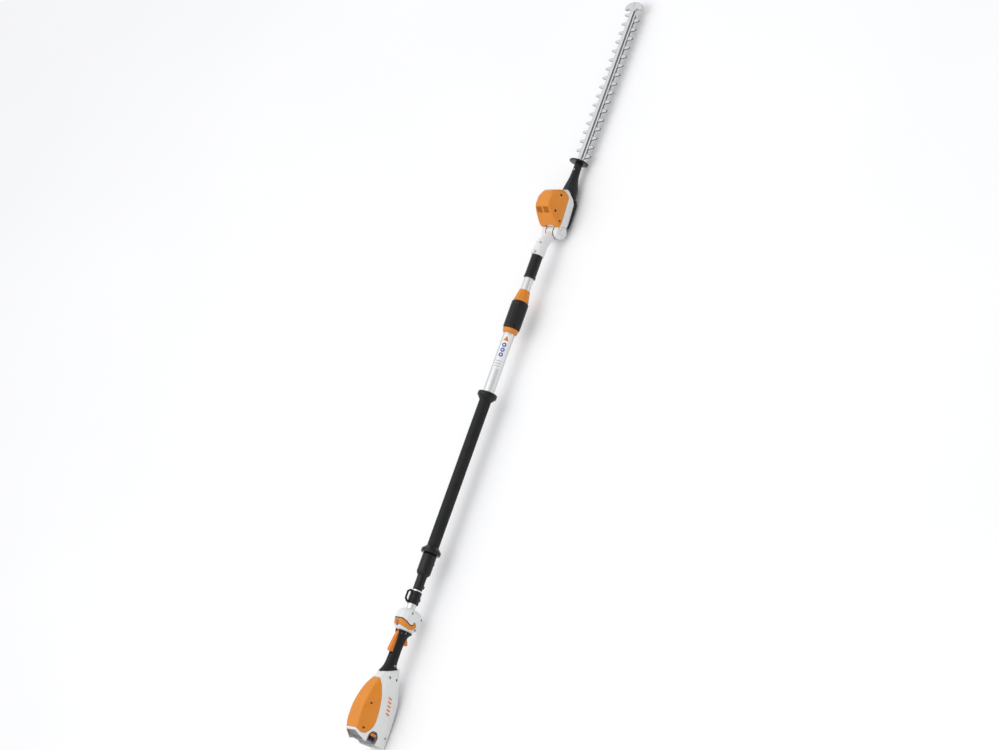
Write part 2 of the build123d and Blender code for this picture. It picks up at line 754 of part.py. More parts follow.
def tip_guard():
    """Blunt anchor-shaped guard at the end of the guide bar."""
    plan = plan_pair([(2573, 9), (2580, 14), (2583, 34), (2590, 38), (2598, 34), (2604, 16),
                      (LENGTH, 6)])
    guard = plan_solid(plan, -42, -27)
    return guard - guide_bar() - block((2560, -40, -50), (2579, 40, BAR_LOW))


def blade_disc():
    """Round hand guard in front of the nose."""
    disc = turned([(2018, 0), (2018, 31), (2019, 31.8), (2022, 31.8), (2023, 31), (2025, 16),
                   (2027, 0)])
    disc = Pos(0, 0, -32) * disc
    return disc - block((2000, -SLOT_HALF, -42), (2040, SLOT_HALF, BAR_LOW)) - guide_bar()


# ---- wiring ---------------------------------------------------------------------------
def curly_lead():
    """Coiled lead inside the shaft, as the tube that it fills."""
    return rod_x(700, 1120, 9.0)


# ---- all nodes ------------------------------------------------------------------------
NODES = {
    "housing_left": lambda: housing_half(1),
    "housing_right": lambda: housing_half(-1),
    "housing_hood": hood,
    "shell_screws": lambda: group(screws(HOOD_SCREWS + HOUSING_SCREWS + HANDLE_SCREWS
                                         + CONTROL_SCREWS)),
    "battery_bay_frame": bay_frame,
    "terminal_block": terminal_block,
    "control_electronics": lambda: group([control_board(), trigger_switch()]),
    "battery_case": battery_case,
    "battery_cells": lambda: group(battery_cells()),
    "battery_latch_left": lambda: battery_latch(1),
    "battery_latch_right": lambda: battery_latch(-1),
    "battery_latch_pins": lambda: group(latch_pins()),
    "handle_left": lambda: handle_half(1),
    "handle_right": lambda: handle_half(-1),
    "lever_pins": lambda: group(lever_pins()),
    "lever_springs": lambda: group(lever_springs()),
    "trigger": trigger,
    "lockout_lever": lockout_lever,
    "control_left": lambda: control_half(1),
    "control_right": lambda: control_half(-1),
    "control_trim": control_trim,
    "retaining_latch": retaining_latch,
    "rear_tube": lambda: ring(REAR_TUBE, REAR_R, REAR_BORE),
    "harness_clamp": harness_clamp,
    "harness_screws": lambda: group(screws(HARNESS_SCREWS)),
    "tube_sleeve": tube_sleeve,
    "tube_bush": tube_bush,
    "lower_collar": lower_collar,
    "hose_grip": lambda: ring((LOWER_COLLAR[1], UPPER_COLLAR[0]), HOSE_R, OUTER_R),
    "upper_collar": upper_collar,
    "outer_tube": lambda: ring(OUTER_TUBE, OUTER_R, OUTER_BORE),
    "clamp_ring": clamp_ring,
    "clamp_collet": clamp_collet,
    "clamp_grip": clamp_grip,
    "clamp_cone": clamp_cone,
    "curly_lead": curly_lead,
    "inner_tube": lambda: ring(INNER_TUBE, INNER_R, INNER_BORE),
    "guide_bush": guide_bush,
    "front_sleeve": front_sleeve,
    "swivel_arm": swivel_arm,
    "arm_screws": lambda: group(screws(ARM_SCREWS)),
    "pivot_pin": pivot_pin,
    "pivot_caps": lambda: group(pivot_caps()),
    "lock_button": lock_button,
    "motor_housing": motor_housing,
    "motor_hood": motor_hood,
    "head_screws": lambda: group(screws(HEAD_SCREWS + NOSE_SCREW)),
    "gear_cover": gear_cover,
    "gear_plate": gear_plate,
    "motor_stator": motor_stator,
    "motor_rotor": motor_rotor,
    "head_bearings": lambda: group(head_bearings()),
    "crank_gear": crank_gear,
    "nose_housing": nose_housing,
    "blade_disc": blade_disc,
    "guide_bar": bar_with_holes,
    "blade_upper": lambda: blade(UPPER_TOP),
    "blade_lower": lambda: blade(LOWER_TOP),
    "blade_bolts": lambda: group(blade_bolts()),
    "tip_guard": tip_guard,
}


def export():
    os.makedirs("parts", exist_ok=True)
    place = Pos(-LENGTH / 2, 0, FLOOR_DEPTH)
    for name, make in NODES.items():
        export_step(place * make(), f"parts/{name}.step")


if __name__ == "__main__":
    export()
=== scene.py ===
import math

import bmesh
import bpy
from mathutils import Matrix, Vector


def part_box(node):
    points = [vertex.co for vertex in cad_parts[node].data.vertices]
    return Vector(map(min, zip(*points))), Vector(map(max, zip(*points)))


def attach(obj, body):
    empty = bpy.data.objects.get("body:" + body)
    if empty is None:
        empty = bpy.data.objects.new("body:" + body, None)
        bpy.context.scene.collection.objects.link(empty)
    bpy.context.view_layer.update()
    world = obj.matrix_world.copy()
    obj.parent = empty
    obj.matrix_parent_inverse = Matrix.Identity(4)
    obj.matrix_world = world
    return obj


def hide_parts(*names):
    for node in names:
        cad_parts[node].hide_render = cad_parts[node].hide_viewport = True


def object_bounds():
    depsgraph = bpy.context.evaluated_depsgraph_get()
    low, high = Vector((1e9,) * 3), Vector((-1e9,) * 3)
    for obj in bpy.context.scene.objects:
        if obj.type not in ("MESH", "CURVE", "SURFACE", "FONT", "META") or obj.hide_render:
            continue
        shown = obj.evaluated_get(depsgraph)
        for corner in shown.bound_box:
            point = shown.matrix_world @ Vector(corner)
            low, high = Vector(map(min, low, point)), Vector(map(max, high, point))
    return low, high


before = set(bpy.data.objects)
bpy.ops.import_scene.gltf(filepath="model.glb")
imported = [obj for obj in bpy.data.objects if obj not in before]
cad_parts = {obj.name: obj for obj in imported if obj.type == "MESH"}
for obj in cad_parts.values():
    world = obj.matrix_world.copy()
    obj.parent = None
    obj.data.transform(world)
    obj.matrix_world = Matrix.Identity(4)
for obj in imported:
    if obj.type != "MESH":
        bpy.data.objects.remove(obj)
CAD_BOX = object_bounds()

# ---- the tool's own coordinates -------------------------------------------------------
# Millimetres: x from the rear end along the shaft, y to the left, z up from the shaft's
# centre line. at() turns them into the frame's metres.
MM = 0.001
REAR = CAD_BOX[0].x
TUBE_LOW, TUBE_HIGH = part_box("outer_tube")
AXIS = (TUBE_LOW.z + TUBE_HIGH.z) / 2
LENGTH = (CAD_BOX[1].x - CAD_BOX[0].x) / MM


def at(x, y, z):
    return Vector((REAR + x * MM, y * MM, AXIS + z * MM))


def local_box(node):
    """A CAD node's box in the tool's own millimetres."""
    low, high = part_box(node)
    base = Vector((REAR, 0, AXIS))
    return (low - base) / MM, (high - base) / MM


def span(node):
    low, high = local_box(node)
    return low.x, high.x


# ---- mesh helpers ---------------------------------------------------------------------
def new_object(name, verts, faces, material, crease=40):
    mesh = bpy.data.meshes.new(name)
    mesh.from_pydata([tuple(v) for v in verts], [], faces)
    obj = bpy.data.objects.new(name, mesh)
    bpy.context.scene.collection.objects.link(obj)
    tidy_mesh(obj, crease)
    mesh.materials.append(material)
    return obj


def tidy_mesh(obj, crease=40):
    """Joins doubled points, points the faces outwards and shades smooth between creases."""
    work = bmesh.new()
    work.from_mesh(obj.data)
    bmesh.ops.remove_doubles(work, verts=work.verts, dist=0.01 * MM)
    bmesh.ops.dissolve_degenerate(work, edges=work.edges, dist=0.005 * MM)
    bmesh.ops.recalc_face_normals(work, faces=work.faces)
    work.to_mesh(obj.data)
    work.free()
    obj.data.shade_smooth()
    obj.data.set_sharp_from_angle(angle=math.radians(crease))


def bake_modifiers(obj, crease=40):
    """Replaces the mesh by what its modifiers make of it."""
    graph = bpy.context.evaluated_depsgraph_get()
    made = bpy.data.meshes.new_from_object(obj.evaluated_get(graph))
    obj.modifiers.clear()
    obj.data = made
    obj.data.shade_smooth()
    obj.data.set_sharp_from_angle(angle=math.radians(crease))


def soften(obj, width=0.8, segments=3, angle=35):
    """Rounds the edges of a piece."""
    bevel = obj.modifiers.new("edges", "BEVEL")
    bevel.width = width * MM
    bevel.segments = segments
    bevel.limit_method = "ANGLE"
    bevel.angle_limit = math.radians(angle)
    bevel.harden_normals = True
    return obj


def carve(obj, cutter, operation="DIFFERENCE"):
    """Boolean of obj with cutter, whose mesh is dropped afterwards."""
    cut = obj.modifiers.new("cut", "BOOLEAN")
    cut.operation = operation
    cut.solver = "EXACT"
    cut.object = cutter
    bake_modifiers(obj)
    bpy.data.objects.remove(cutter)
    return obj


def join(name, objects):
    """One object from several."""
    work = bmesh.new()
    graph = bpy.context.evaluated_depsgraph_get()
    materials = []
    for obj in objects:
        part = bpy.data.meshes.new_from_object(obj.evaluated_get(graph))
        part.transform(obj.matrix_world)
        if part.materials and part.materials[0] not in materials:
            materials.append(part.materials[0])
        slot = materials.index(part.materials[0]) if part.materials else 0
        for face in part.polygons:
            face.material_index = slot
        work.from_mesh(part)
        bpy.data.meshes.remove(part)
    mesh = bpy.data.meshes.new(name)
    work.to_mesh(mesh)
    work.free()
    for material in materials:
        mesh.materials.append(material)
    for obj in objects:
        bpy.data.objects.remove(obj)
    made = bpy.data.objects.new(name, mesh)
    bpy.context.scene.collection.objects.link(made)
    mesh.shade_smooth()
    mesh.set_sharp_from_angle(angle=math.radians(40))
    return made


def place(obj, body, slot, *nodes):
    """A finished piece: attached to the body it rides on, with the CAD nodes it stands for hidden. The
    slot argument is not used.
    """
    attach(obj, body)
    if nodes:
        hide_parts(*nodes)
    return obj


def rounded(points, radius=1.0, steps=4, closed=True):
    """Outline with its corners turned into arcs. A point's third value is its own radius."""
    if not steps:
        return [Vector(point[:2]) for point in points]
    made = []
    count = len(points)
    for i, point in enumerate(points):
        here = Vector(point[:2])
        if not closed and i in (0, count - 1):
            made.append(here)
            continue
        before = Vector(points[i - 1][:2]) - here
        after = Vector(points[(i + 1) % count][:2]) - here
        bend = before.angle(after)
        size = point[2] if len(point) > 2 else radius
        reach = min(size / math.tan(bend / 2), 0.46 * before.length, 0.46 * after.length)
        if bend > math.radians(178) or reach < 1e-4:
            made += [here.copy() for _ in range(steps + 1)]
            continue
        size = reach * math.tan(bend / 2)
        middle = here + (before.normalized() + after.normalized()).normalized() * size / math.sin(bend / 2)
        first = here + before.normalized() * reach - middle
        last = here + after.normalized() * reach - middle
        start = math.atan2(first.y, first.x)
        turn = (math.atan2(last.y, last.x) - start + math.pi) % (2 * math.pi) - math.pi
        for step in range(steps + 1):
            a = start + turn * step / steps
            made.append(middle + Vector((math.cos(a), math.sin(a))) * size)
    return made


def glide(rows, x):
    """Smooth curve through rows of (x, value, value, ...)."""
    if x <= rows[0][0]:
        return rows[0][1:]
    if x >= rows[-1][0]:
        return rows[-1][1:]
    k = max(i for i in range(len(rows) - 1) if rows[i][0] <= x)
    a, b = rows[k], rows[k + 1]
    before = rows[k - 1] if k else a
    after = rows[k + 2] if k + 2 < len(rows) else b
    wide = b[0] - a[0]
    t = (x - a[0]) / wide
    values = []
    for i in range(1, len(a)):
        m0 = (b[i] - before[i]) / (b[0] - before[0]) * wide
        m1 = (after[i] - a[i]) / (after[0] - a[0]) * wide
        values.append((2 * t**3 - 3 * t**2 + 1) * a[i] + (t**3 - 2 * t**2 + t) * m0
                      + (3 * t**2 - 2 * t**3) * b[i] + (t**3 - t**2) * m1)
    return values


def grid_faces(rows, columns, wrap=False, start=0):
    """Quads between rows of points."""
    faces = []
    for i in range(rows - 1):
        for j in range(columns if wrap else columns - 1):
            a, b = start + i * columns + j, start + i * columns + (j + 1) % columns
            faces.append((a, b, b + columns, a + columns))
    return faces


def turned_faces(segments, wide, closed=True):
    """Quads between outlines turned about an axis, back to the first one."""
    faces = []
    for k in range(segments):
        a, c = k * wide, (k + 1) % segments * wide
        for j in range(wide if closed else wide - 1):
            after = (j + 1) % wide
            faces.append((a + j, a + after, c + after, c + j))
    return faces


def capped_faces(wide):
    """Two end faces and the quads between them."""
    faces = [tuple(range(wide)), tuple(range(wide, 2 * wide))]
    return faces + [(j, (j + 1) % wide, (j + 1) % wide + wide, j + wide) for j in range(wide)]


def mirrored(half):
    """Closed outline from its half (y, z, radius) at positive y."""
    return half + [(-y, z, r) for y, z, r in reversed(half)]


def repaint(obj, name, material):
    obj.name = name
    obj.data.materials.clear()
    obj.data.materials.append(material)


def loft(name, rings, material, crease=40, capped=True):
    """Closed skin over rings of equally many points."""
    wide = len(rings[0])
    verts = [p for ring in rings for p in ring]
    faces = grid_faces(len(rings), wide, wrap=True)
    if capped:
        faces.append(tuple(range(wide))[::-1])
        faces.append(tuple(range(len(verts) - wide, len(verts))))
    return new_object(name, verts, faces, material, crease)


def lathe(name, profile, material, y=0.0, z=0.0, radius=0.6, segments=96, relief=None, crease=40,
          steps=3):
    """Closed ring-shaped piece turned about the shaft from points (x, r)."""
    outline = rounded(profile, radius, steps)
    verts = []
    for k in range(segments):
        a = 2 * math.pi * k / segments
        for p in outline:
            r = p.y + (relief(p.x, a, p.y) if relief else 0.0)
            verts.append(at(p.x, y + r * math.cos(a), z + r * math.sin(a)))
    return new_object(name, verts, turned_faces(segments, len(outline)), material, crease)


def turned_y(name, profile, material, x, z, radius=0.5, segments=72, crease=40):
    """Piece turned about an axis along y through (x, z), from points (y, r) starting and
    ending on the axis."""
    outline = rounded(profile, radius, 3, closed=False)
    verts = []
    for k in range(segments):
        a = 2 * math.pi * k / segments
        verts += [at(x + p.y * math.cos(a), p.x, z + p.y * math.sin(a)) for p in outline]
    return new_object(name, verts, turned_faces(segments, len(outline), False), material, crease)


def prism(name, outline, low, high, material, radius=1.5, plane="xz", edge=0.8, steps=4):
    """Flat outline made thick between low and high, with rounded corners and edges."""
    flat = rounded(outline, radius, steps)
    turn = {"xz": lambda p, h: at(p.x, h, p.y), "xy": lambda p, h: at(p.x, p.y, h),
            "yz": lambda p, h: at(h, p.x, p.y)}[plane]
    verts = [turn(p, low) for p in flat] + [turn(p, high) for p in flat]
    made = new_object(name, verts, capped_faces(len(flat)), material)
    if edge:
        soften(made, edge)
    return made


def swept(name, path, radius, material, closed=False, segments=16):
    """Round bar along a path of points in the frame."""
    curve = bpy.data.curves.new(name, "CURVE")
    curve.dimensions = "3D"
    curve.bevel_depth = radius * MM
    curve.bevel_resolution = segments // 4
    curve.use_fill_caps = True
    line = curve.splines.new("NURBS")
    line.points.add(len(path) - 1)
    for point, place_at in zip(line.points, path):
        point.co = (*place_at, 1)
    line.order_u = 4
    line.use_endpoint_u = not closed
    line.use_cyclic_u = closed
    line.resolution_u = 6
    holder = bpy.data.objects.new(name, curve)
    bpy.context.scene.collection.objects.link(holder)
    graph = bpy.context.evaluated_depsgraph_get()
    mesh = bpy.data.meshes.new_from_object(holder.evaluated_get(graph))
    bpy.data.objects.remove(holder)
    obj = bpy.data.objects.new(name, mesh)
    bpy.context.scene.collection.objects.link(obj)
    obj.data.materials.clear()
    obj.data.materials.append(material)
    tidy_mesh(obj)
    return obj


# ---- materials ------------------------------------------------------------------------
def node_material(name):
    material = bpy.data.materials.new(name)
    material.use_nodes = True
    tree = material.node_tree
    shader = tree.nodes["Principled BSDF"]
    return material, tree, shader


def add_node(tree, kind, inputs=None, **settings):
    node = tree.nodes.new(kind)
    for key, value in settings.items():
        setattr(node, key, value)
    for key, value in (inputs or {}).items():
        node.inputs[key].default_value = value
    return node


def place_coordinates(tree, stretch=(1, 1, 1)):
    coordinates = add_node(tree, "ShaderNodeTexCoord")
    mapping = add_node(tree, "ShaderNodeMapping", {"Scale": stretch})
    tree.links.new(coordinates.outputs["Object"], mapping.inputs["Vector"])
    return mapping.outputs["Vector"]


def noise_field(tree, vector, scale, detail=4.0, rough=0.55):
    field = add_node(tree, "ShaderNodeTexNoise", {"Scale": scale, "Detail": detail, "Roughness": rough})
    tree.links.new(vector, field.inputs["Vector"])
    return field.outputs["Fac"]


def ramp(tree, source, stops):
    """Colour ramp from (position, colour) stops."""
    node = tree.nodes.new("ShaderNodeValToRGB")
    elements = node.color_ramp.elements
    while len(elements) < len(stops):
        elements.new(0.5)
    for element, (spot, colour) in zip(elements, stops):
        element.position = spot
        element.color = (*colour, 1) if len(colour) == 3 else colour
    tree.links.new(source, node.inputs["Fac"])
    return node.outputs["Color"]


def mix(tree, fac, a, b, mode="MIX"):
    """Colour mix; fac, a and b are sockets or constants."""
    node = add_node(tree, "ShaderNodeMix", data_type="RGBA", blend_type=mode)
    for index, value in ((0, fac), (6, a), (7, b)):
        if isinstance(value, bpy.types.NodeSocket):
            tree.links.new(value, node.inputs[index])
        else:
            node.inputs[index].default_value = value if index == 0 else (*value, 1)
    return node.outputs[2]


def spread(tree, source, low, high):
    """Maps 0..1 to low..high."""
    node = add_node(tree, "ShaderNodeMapRange", {"To Min": low, "To Max": high})
    tree.links.new(source, node.inputs["Value"])
    return node.outputs["Result"]


def shade(colour, factor):
    return tuple(min(1.0, c * factor) for c in colour)


def worn_edges(tree, low=0.52, high=0.60):
    """White on the piece's convex edges."""
    geometry = add_node(tree, "ShaderNodeNewGeometry")
    return ramp(tree, geometry.outputs["Pointiness"], [(low, (0, 0, 0)), (high, (1, 1, 1))])


def set_bump(tree, shader, height, strength, distance=0.0004):
    bump = add_node(tree, "ShaderNodeBump", {"Strength": strength, "Distance": distance})
    tree.links.new(height, bump.inputs["Height"])
    tree.links.new(bump.outputs["Normal"], shader.inputs["Normal"])


def moulded(name, colour, rough=0.42, grain=0.12, wear=0.25, soil=0.06, specular=0.45, coat=0.0):
    """Injection-moulded plastic: fine spark-eroded grain, slight shade variation, rubbed edges."""
    material, tree, shader = node_material(name)
    where = place_coordinates(tree)
    cloud = noise_field(tree, where, 14.0, 5.0)
    speck = noise_field(tree, where, 420.0, 2.0)
    base = ramp(tree, cloud, [(0.3, shade(colour, 1 - soil)), (0.7, shade(colour, 1 + soil * 0.5))])
    base = mix(tree, spread(tree, speck, 0.0, 0.12), base, shade(colour, 0.72), "MIX")
    base = mix(tree, worn_mask(tree, wear), base, shade(colour, 1.35))
    tree.links.new(base, shader.inputs["Base Color"])
    smear = noise_field(tree, place_coordinates(tree, (0.4, 1, 1)), 60.0, 6.0)
    tree.links.new(spread(tree, smear, rough - 0.07, rough + 0.09), shader.inputs["Roughness"])
    shader.inputs["Specular IOR Level"].default_value = specular
    shader.inputs["Coat Weight"].default_value = coat
    shader.inputs["Coat Roughness"].default_value = 0.25
    set_bump(tree, shader, noise_field(tree, where, 1500.0, 3.0), grain, 0.00025)
    return material


def worn_mask(tree, amount):
    """Edge wear broken up by noise."""
    edges = worn_edges(tree)
    patches = noise_field(tree, place_coordinates(tree), 90.0, 4.0)
    return spread(tree, mix(tree, 1.0, edges, ramp(tree, patches, [(0.4, (0, 0, 0)), (0.65, (1, 1, 1))]),
                            "MULTIPLY"), 0.0, amount)


def drawn_metal(name, colour, rough=0.3, streak=(1.2, 220, 220), metallic=1.0, bump=0.08):
    """Metal drawn or ground along x: long fine streaks in shade, roughness and relief."""
    material, tree, shader = node_material(name)
    lines = noise_field(tree, place_coordinates(tree, streak), 9.0, 6.0, 0.65)
    cloud = noise_field(tree, place_coordinates(tree), 22.0, 4.0)
    base = ramp(tree, lines, [(0.3, shade(colour, 0.84)), (0.7, shade(colour, 1.05))])
    base = mix(tree, spread(tree, cloud, 0.0, 0.25), base, shade(colour, 0.8))
    tree.links.new(base, shader.inputs["Base Color"])
    shader.inputs["Metallic"].default_value = metallic
    tree.links.new(spread(tree, lines, rough - 0.08, rough + 0.12), shader.inputs["Roughness"])
    set_bump(tree, shader, lines, bump, 0.0002)
    return material


def soft_rubber(name, colour, rough=0.62, grain=0.35):
    """Matt rubber with dusty high spots."""
    material, tree, shader = node_material(name)
    where = place_coordinates(tree)
    cloud = noise_field(tree, where, 30.0, 5.0)
    base = ramp(tree, cloud, [(0.3, shade(colour, 0.75)), (0.75, shade(colour, 1.5))])
    base = mix(tree, worn_mask(tree, 0.3), base, shade(colour, 3.0))
    tree.links.new(base, shader.inputs["Base Color"])
    tree.links.new(spread(tree, cloud, rough - 0.06, rough + 0.12), shader.inputs["Roughness"])
    shader.inputs["Specular IOR Level"].default_value = 0.22
    set_bump(tree, shader, noise_field(tree, where, 900.0, 4.0), grain, 0.0003)
    return material


WHITE = moulded("white_plastic", (0.74, 0.745, 0.74), 0.38, 0.10, 0.0, 0.03)
ORANGE = moulded("orange_plastic", (0.70, 0.235, 0.018), 0.34, 0.10, 0.12, 0.05, 0.35)
ORANGE_SMOOTH = moulded("orange_smooth", (0.70, 0.20, 0.015), 0.30, 0.05, 0.12, 0.05, 0.35)
BLACK = moulded("black_plastic", (0.008, 0.008, 0.0085), 0.27, 0.12, 0.2, 0.15, 0.28)
GRIP = soft_rubber("grip_rubber", (0.008, 0.008, 0.0085), 0.42, 0.4)
HOSE = soft_rubber("hose_rubber", (0.009, 0.009, 0.0095), 0.48, 0.3)
BATTERY = moulded("battery_plastic", (0.17, 0.16, 0.18), 0.42, 0.15, 0.15, 0.08)
ALUMINIUM = drawn_metal("drawn_aluminium", (0.76, 0.765, 0.77), 0.30)
BLADE = drawn_metal("ground_steel", (0.70, 0.705, 0.71), 0.34, (60, 260, 60), 0.9, 0.08)
# Darker steel for the blades' sides and the guide bar's flanks: painted shade.
PAINTED_SHADE_STEEL = drawn_metal("painted_shade_steel", (0.24, 0.245, 0.25), 0.40, (4, 60, 60), 1.0, 0.12)
CAST = drawn_metal("cast_metal", (0.66, 0.665, 0.67), 0.45, (40, 40, 40), 0.7, 0.25)
STEEL = drawn_metal("zinc_steel", (0.55, 0.55, 0.56), 0.32, (80, 80, 80))
DARK_STEEL = drawn_metal("dark_steel", (0.07, 0.07, 0.075), 0.38, (60, 60, 60))
BOARD = moulded("circuit_board", (0.02, 0.11, 0.05), 0.35, 0.05, 0.0, 0.2)
CELLS = moulded("cell_wrap", (0.05, 0.16, 0.30), 0.3, 0.03, 0.0, 0.1)
NATURAL = moulded("natural_plastic", (0.62, 0.60, 0.55), 0.45, 0.1, 0.0, 0.08)

CAD_FINISH = {
    "battery_bay_frame": BLACK, "terminal_block": BLACK, "control_electronics": BOARD,
    "battery_case": BATTERY, "battery_cells": CELLS, "battery_latch_left": ORANGE_SMOOTH,
    "battery_latch_right": ORANGE_SMOOTH, "battery_latch_pins": STEEL, "lever_pins": STEEL,
    "lever_springs": DARK_STEEL, "rear_tube": ALUMINIUM, "tube_bush": BLACK,
    "clamp_collet": BLACK, "curly_lead": HOSE, "guide_bush": NATURAL, "pivot_pin": STEEL,
    "lock_button": WHITE, "gear_cover": BLACK, "gear_plate": CAST, "motor_stator": DARK_STEEL,
    "motor_rotor": STEEL, "head_bearings": STEEL, "crank_gear": STEEL, "blade_bolts": STEEL,
    "harness_screws": STEEL, "arm_screws": STEEL, "shell_screws": DARK_STEEL,
    "head_screws": DARK_STEEL, "housing_left": WHITE, "housing_right": WHITE,
    "housing_hood": ORANGE, "handle_left": GRIP, "handle_right": GRIP, "trigger": ORANGE_SMOOTH,
    "lockout_lever": ORANGE_SMOOTH, "control_left": WHITE, "control_right": WHITE,
    "control_trim": ORANGE, "retaining_latch": ORANGE_SMOOTH, "harness_clamp": BLACK,
    "tube_sleeve": BLACK, "lower_collar": BLACK, "hose_grip": HOSE, "upper_collar": BLACK,
    "outer_tube": ALUMINIUM, "clamp_ring": ORANGE, "clamp_grip": BLACK, "clamp_cone": ORANGE,
    "inner_tube": ALUMINIUM, "front_sleeve": BLACK, "swivel_arm": WHITE, "pivot_caps": WHITE,
    "motor_housing": WHITE, "motor_hood": ORANGE, "nose_housing": BLACK, "blade_disc": BLACK,
    "guide_bar": ALUMINIUM, "blade_upper": BLADE, "blade_lower": BLADE, "tip_guard": CAST,
}


def finish_cad_nodes():
    """Material and rounded edges for the CAD nodes that stay in view."""
    for name, material in CAD_FINISH.items():
        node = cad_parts[name]
        node.data.materials.clear()
        node.data.materials.append(material)
        weld = node.modifiers.new("weld", "WELD")
        weld.merge_threshold = 0.002 * MM
        soften(node, 0.35, 2, 40)
    # The blades' side faces and bevels get the darker steel: painted shade.
    for name in ("blade_upper", "blade_lower"):
        tint(name, PAINTED_SHADE_STEEL, lambda face: abs(face.normal.z) < 0.5)
        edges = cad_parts[name].modifiers["edges"]
        edges.width = 1.0 * MM
        edges.segments = 1
        edges.material = 1
    handle_low, handle_high = span("handle_left")
    tint("shell_screws", STEEL,
         lambda face: handle_low < (face.center.x - REAR) / MM < handle_high + 0.5
         and abs(face.center.y) < 19.5 * MM)
    nose_start = span("nose_housing")[0] + 60
    tint("head_screws", STEEL, lambda face: (face.center.x - REAR) / MM > nose_start)


def tint(name, material, chosen):
    """A second material on some of a node's faces."""
    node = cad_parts[name]
    node.data.materials.append(material)
    for face in node.data.polygons:
        face.material_index = int(chosen(face))


# ---- view and light -------------------------------------------------------------------
VIEW_DISTANCE = 12.0       # metres
VIEW_TILT = 14.0           # degrees behind the tool's side
VIEW_RISE = 50.0           # degrees from straight above, round the shaft
VIEW_ROLL = 19.745         # degrees between the shaft and the picture's upright
LENS = 135.4               # millimetres on a 36 mm sensor
LOOK_AT = at(1256.6, 0, 0)
LOOK_SHIFT = 0.0147        # metres across the shaft
SKY_LIGHT = (0.0, 0.25, 0.97)      # brightest direction of the surroundings
SKY_LOW, SKY_HIGH = 0.38, 1.22
FLOOR_REACH, FLOOR_GAP = 60.0, 0.0005      # metres
KEY_POWER, SIDE_POWER = 45, 14             # watts


def view_axes():
    tilt, rise = math.radians(VIEW_TILT), math.radians(VIEW_RISE)
    along = Vector((1, 0, 0))
    across = math.cos(rise) * Vector((0, 0, 1)) + math.sin(rise) * Vector((0, -1, 0))
    back = -math.sin(tilt) * along + math.cos(tilt) * across
    shaft = (along + math.sin(tilt) * back) / math.cos(tilt)
    side = shaft.cross(back)
    roll = math.radians(VIEW_ROLL)
    right = math.sin(roll) * shaft + math.cos(roll) * side
    up = math.cos(roll) * shaft - math.sin(roll) * side
    return right, up, back, side


def make_camera():
    right, up, back, side = view_axes()
    camera = bpy.data.cameras.new("camera")
    camera.lens = LENS
    camera.sensor_width = 36.0
    camera.clip_end = 200.0
    holder = bpy.data.objects.new("camera", camera)
    bpy.context.scene.collection.objects.link(holder)
    turn = Matrix((right, up, back)).transposed().to_4x4()
    spot = LOOK_AT + side * LOOK_SHIFT + back * VIEW_DISTANCE
    holder.matrix_world = Matrix.Translation(spot) @ turn
    bpy.context.scene.camera = holder


def area_light(name, spot, aim, size, power):
    light = bpy.data.lights.new(name, "AREA")
    light.shape = "DISK"
    light.size = size
    light.energy = power
    holder = bpy.data.objects.new(name, light)
    holder.location = spot
    holder.rotation_euler = (Vector(aim) - Vector(spot)).to_track_quat("-Z", "Y").to_euler()
    bpy.context.scene.collection.objects.link(holder)


def make_stage():
    """Pale floor, pale surroundings and two large soft lights."""
    material, tree, shader = node_material("floor")
    cloud = noise_field(tree, place_coordinates(tree), 0.6, 2.0)
    base = ramp(tree, cloud, [(0.3, (0.86, 0.86, 0.86)), (0.7, (0.89, 0.89, 0.89))])
    tree.links.new(base, shader.inputs["Base Color"])
    shader.inputs["Roughness"].default_value = 0.9
    shader.inputs["Specular IOR Level"].default_value = 0.1
    reach, floor_z = FLOOR_REACH, CAD_BOX[0].z - FLOOR_GAP
    corners = [(-reach, -reach), (reach, -reach), (reach, reach), (-reach, reach)]
    mesh = bpy.data.meshes.new("floor")
    mesh.from_pydata([(x, y, floor_z) for x, y in corners], [], [(0, 1, 2, 3)])
    mesh.materials.append(material)
    floor = bpy.data.objects.new("floor", mesh)
    bpy.context.scene.collection.objects.link(floor)
    world = bpy.data.worlds.new("studio")
    world.use_nodes = True
    sky = world.node_tree
    background = sky.nodes["Background"]
    background.inputs["Color"].default_value = (0.98, 0.985, 1.0, 1)
    where = add_node(sky, "ShaderNodeTexCoord")
    height = add_node(sky, "ShaderNodeVectorMath", {1: SKY_LIGHT}, operation="DOT_PRODUCT")
    sky.links.new(where.outputs["Generated"], height.inputs[0])
    glow = add_node(sky, "ShaderNodeMapRange", {"From Min": -0.2, "From Max": 1.0, "To Min": SKY_LOW,
                                                "To Max": SKY_HIGH})
    sky.links.new(height.outputs["Value"], glow.inputs["Value"])
    sky.links.new(glow.outputs["Result"], background.inputs["Strength"])
    bpy.context.scene.world = world
    area_light("key", (-0.4, 0.6, 4.5), (0, 0, 0), 4.0, KEY_POWER)
    area_light("side", (-2.5, -3.0, 2.5), (0, 0, 0), 2.0, SIDE_POWER)
    bpy.context.scene.view_settings.view_transform = "Standard"


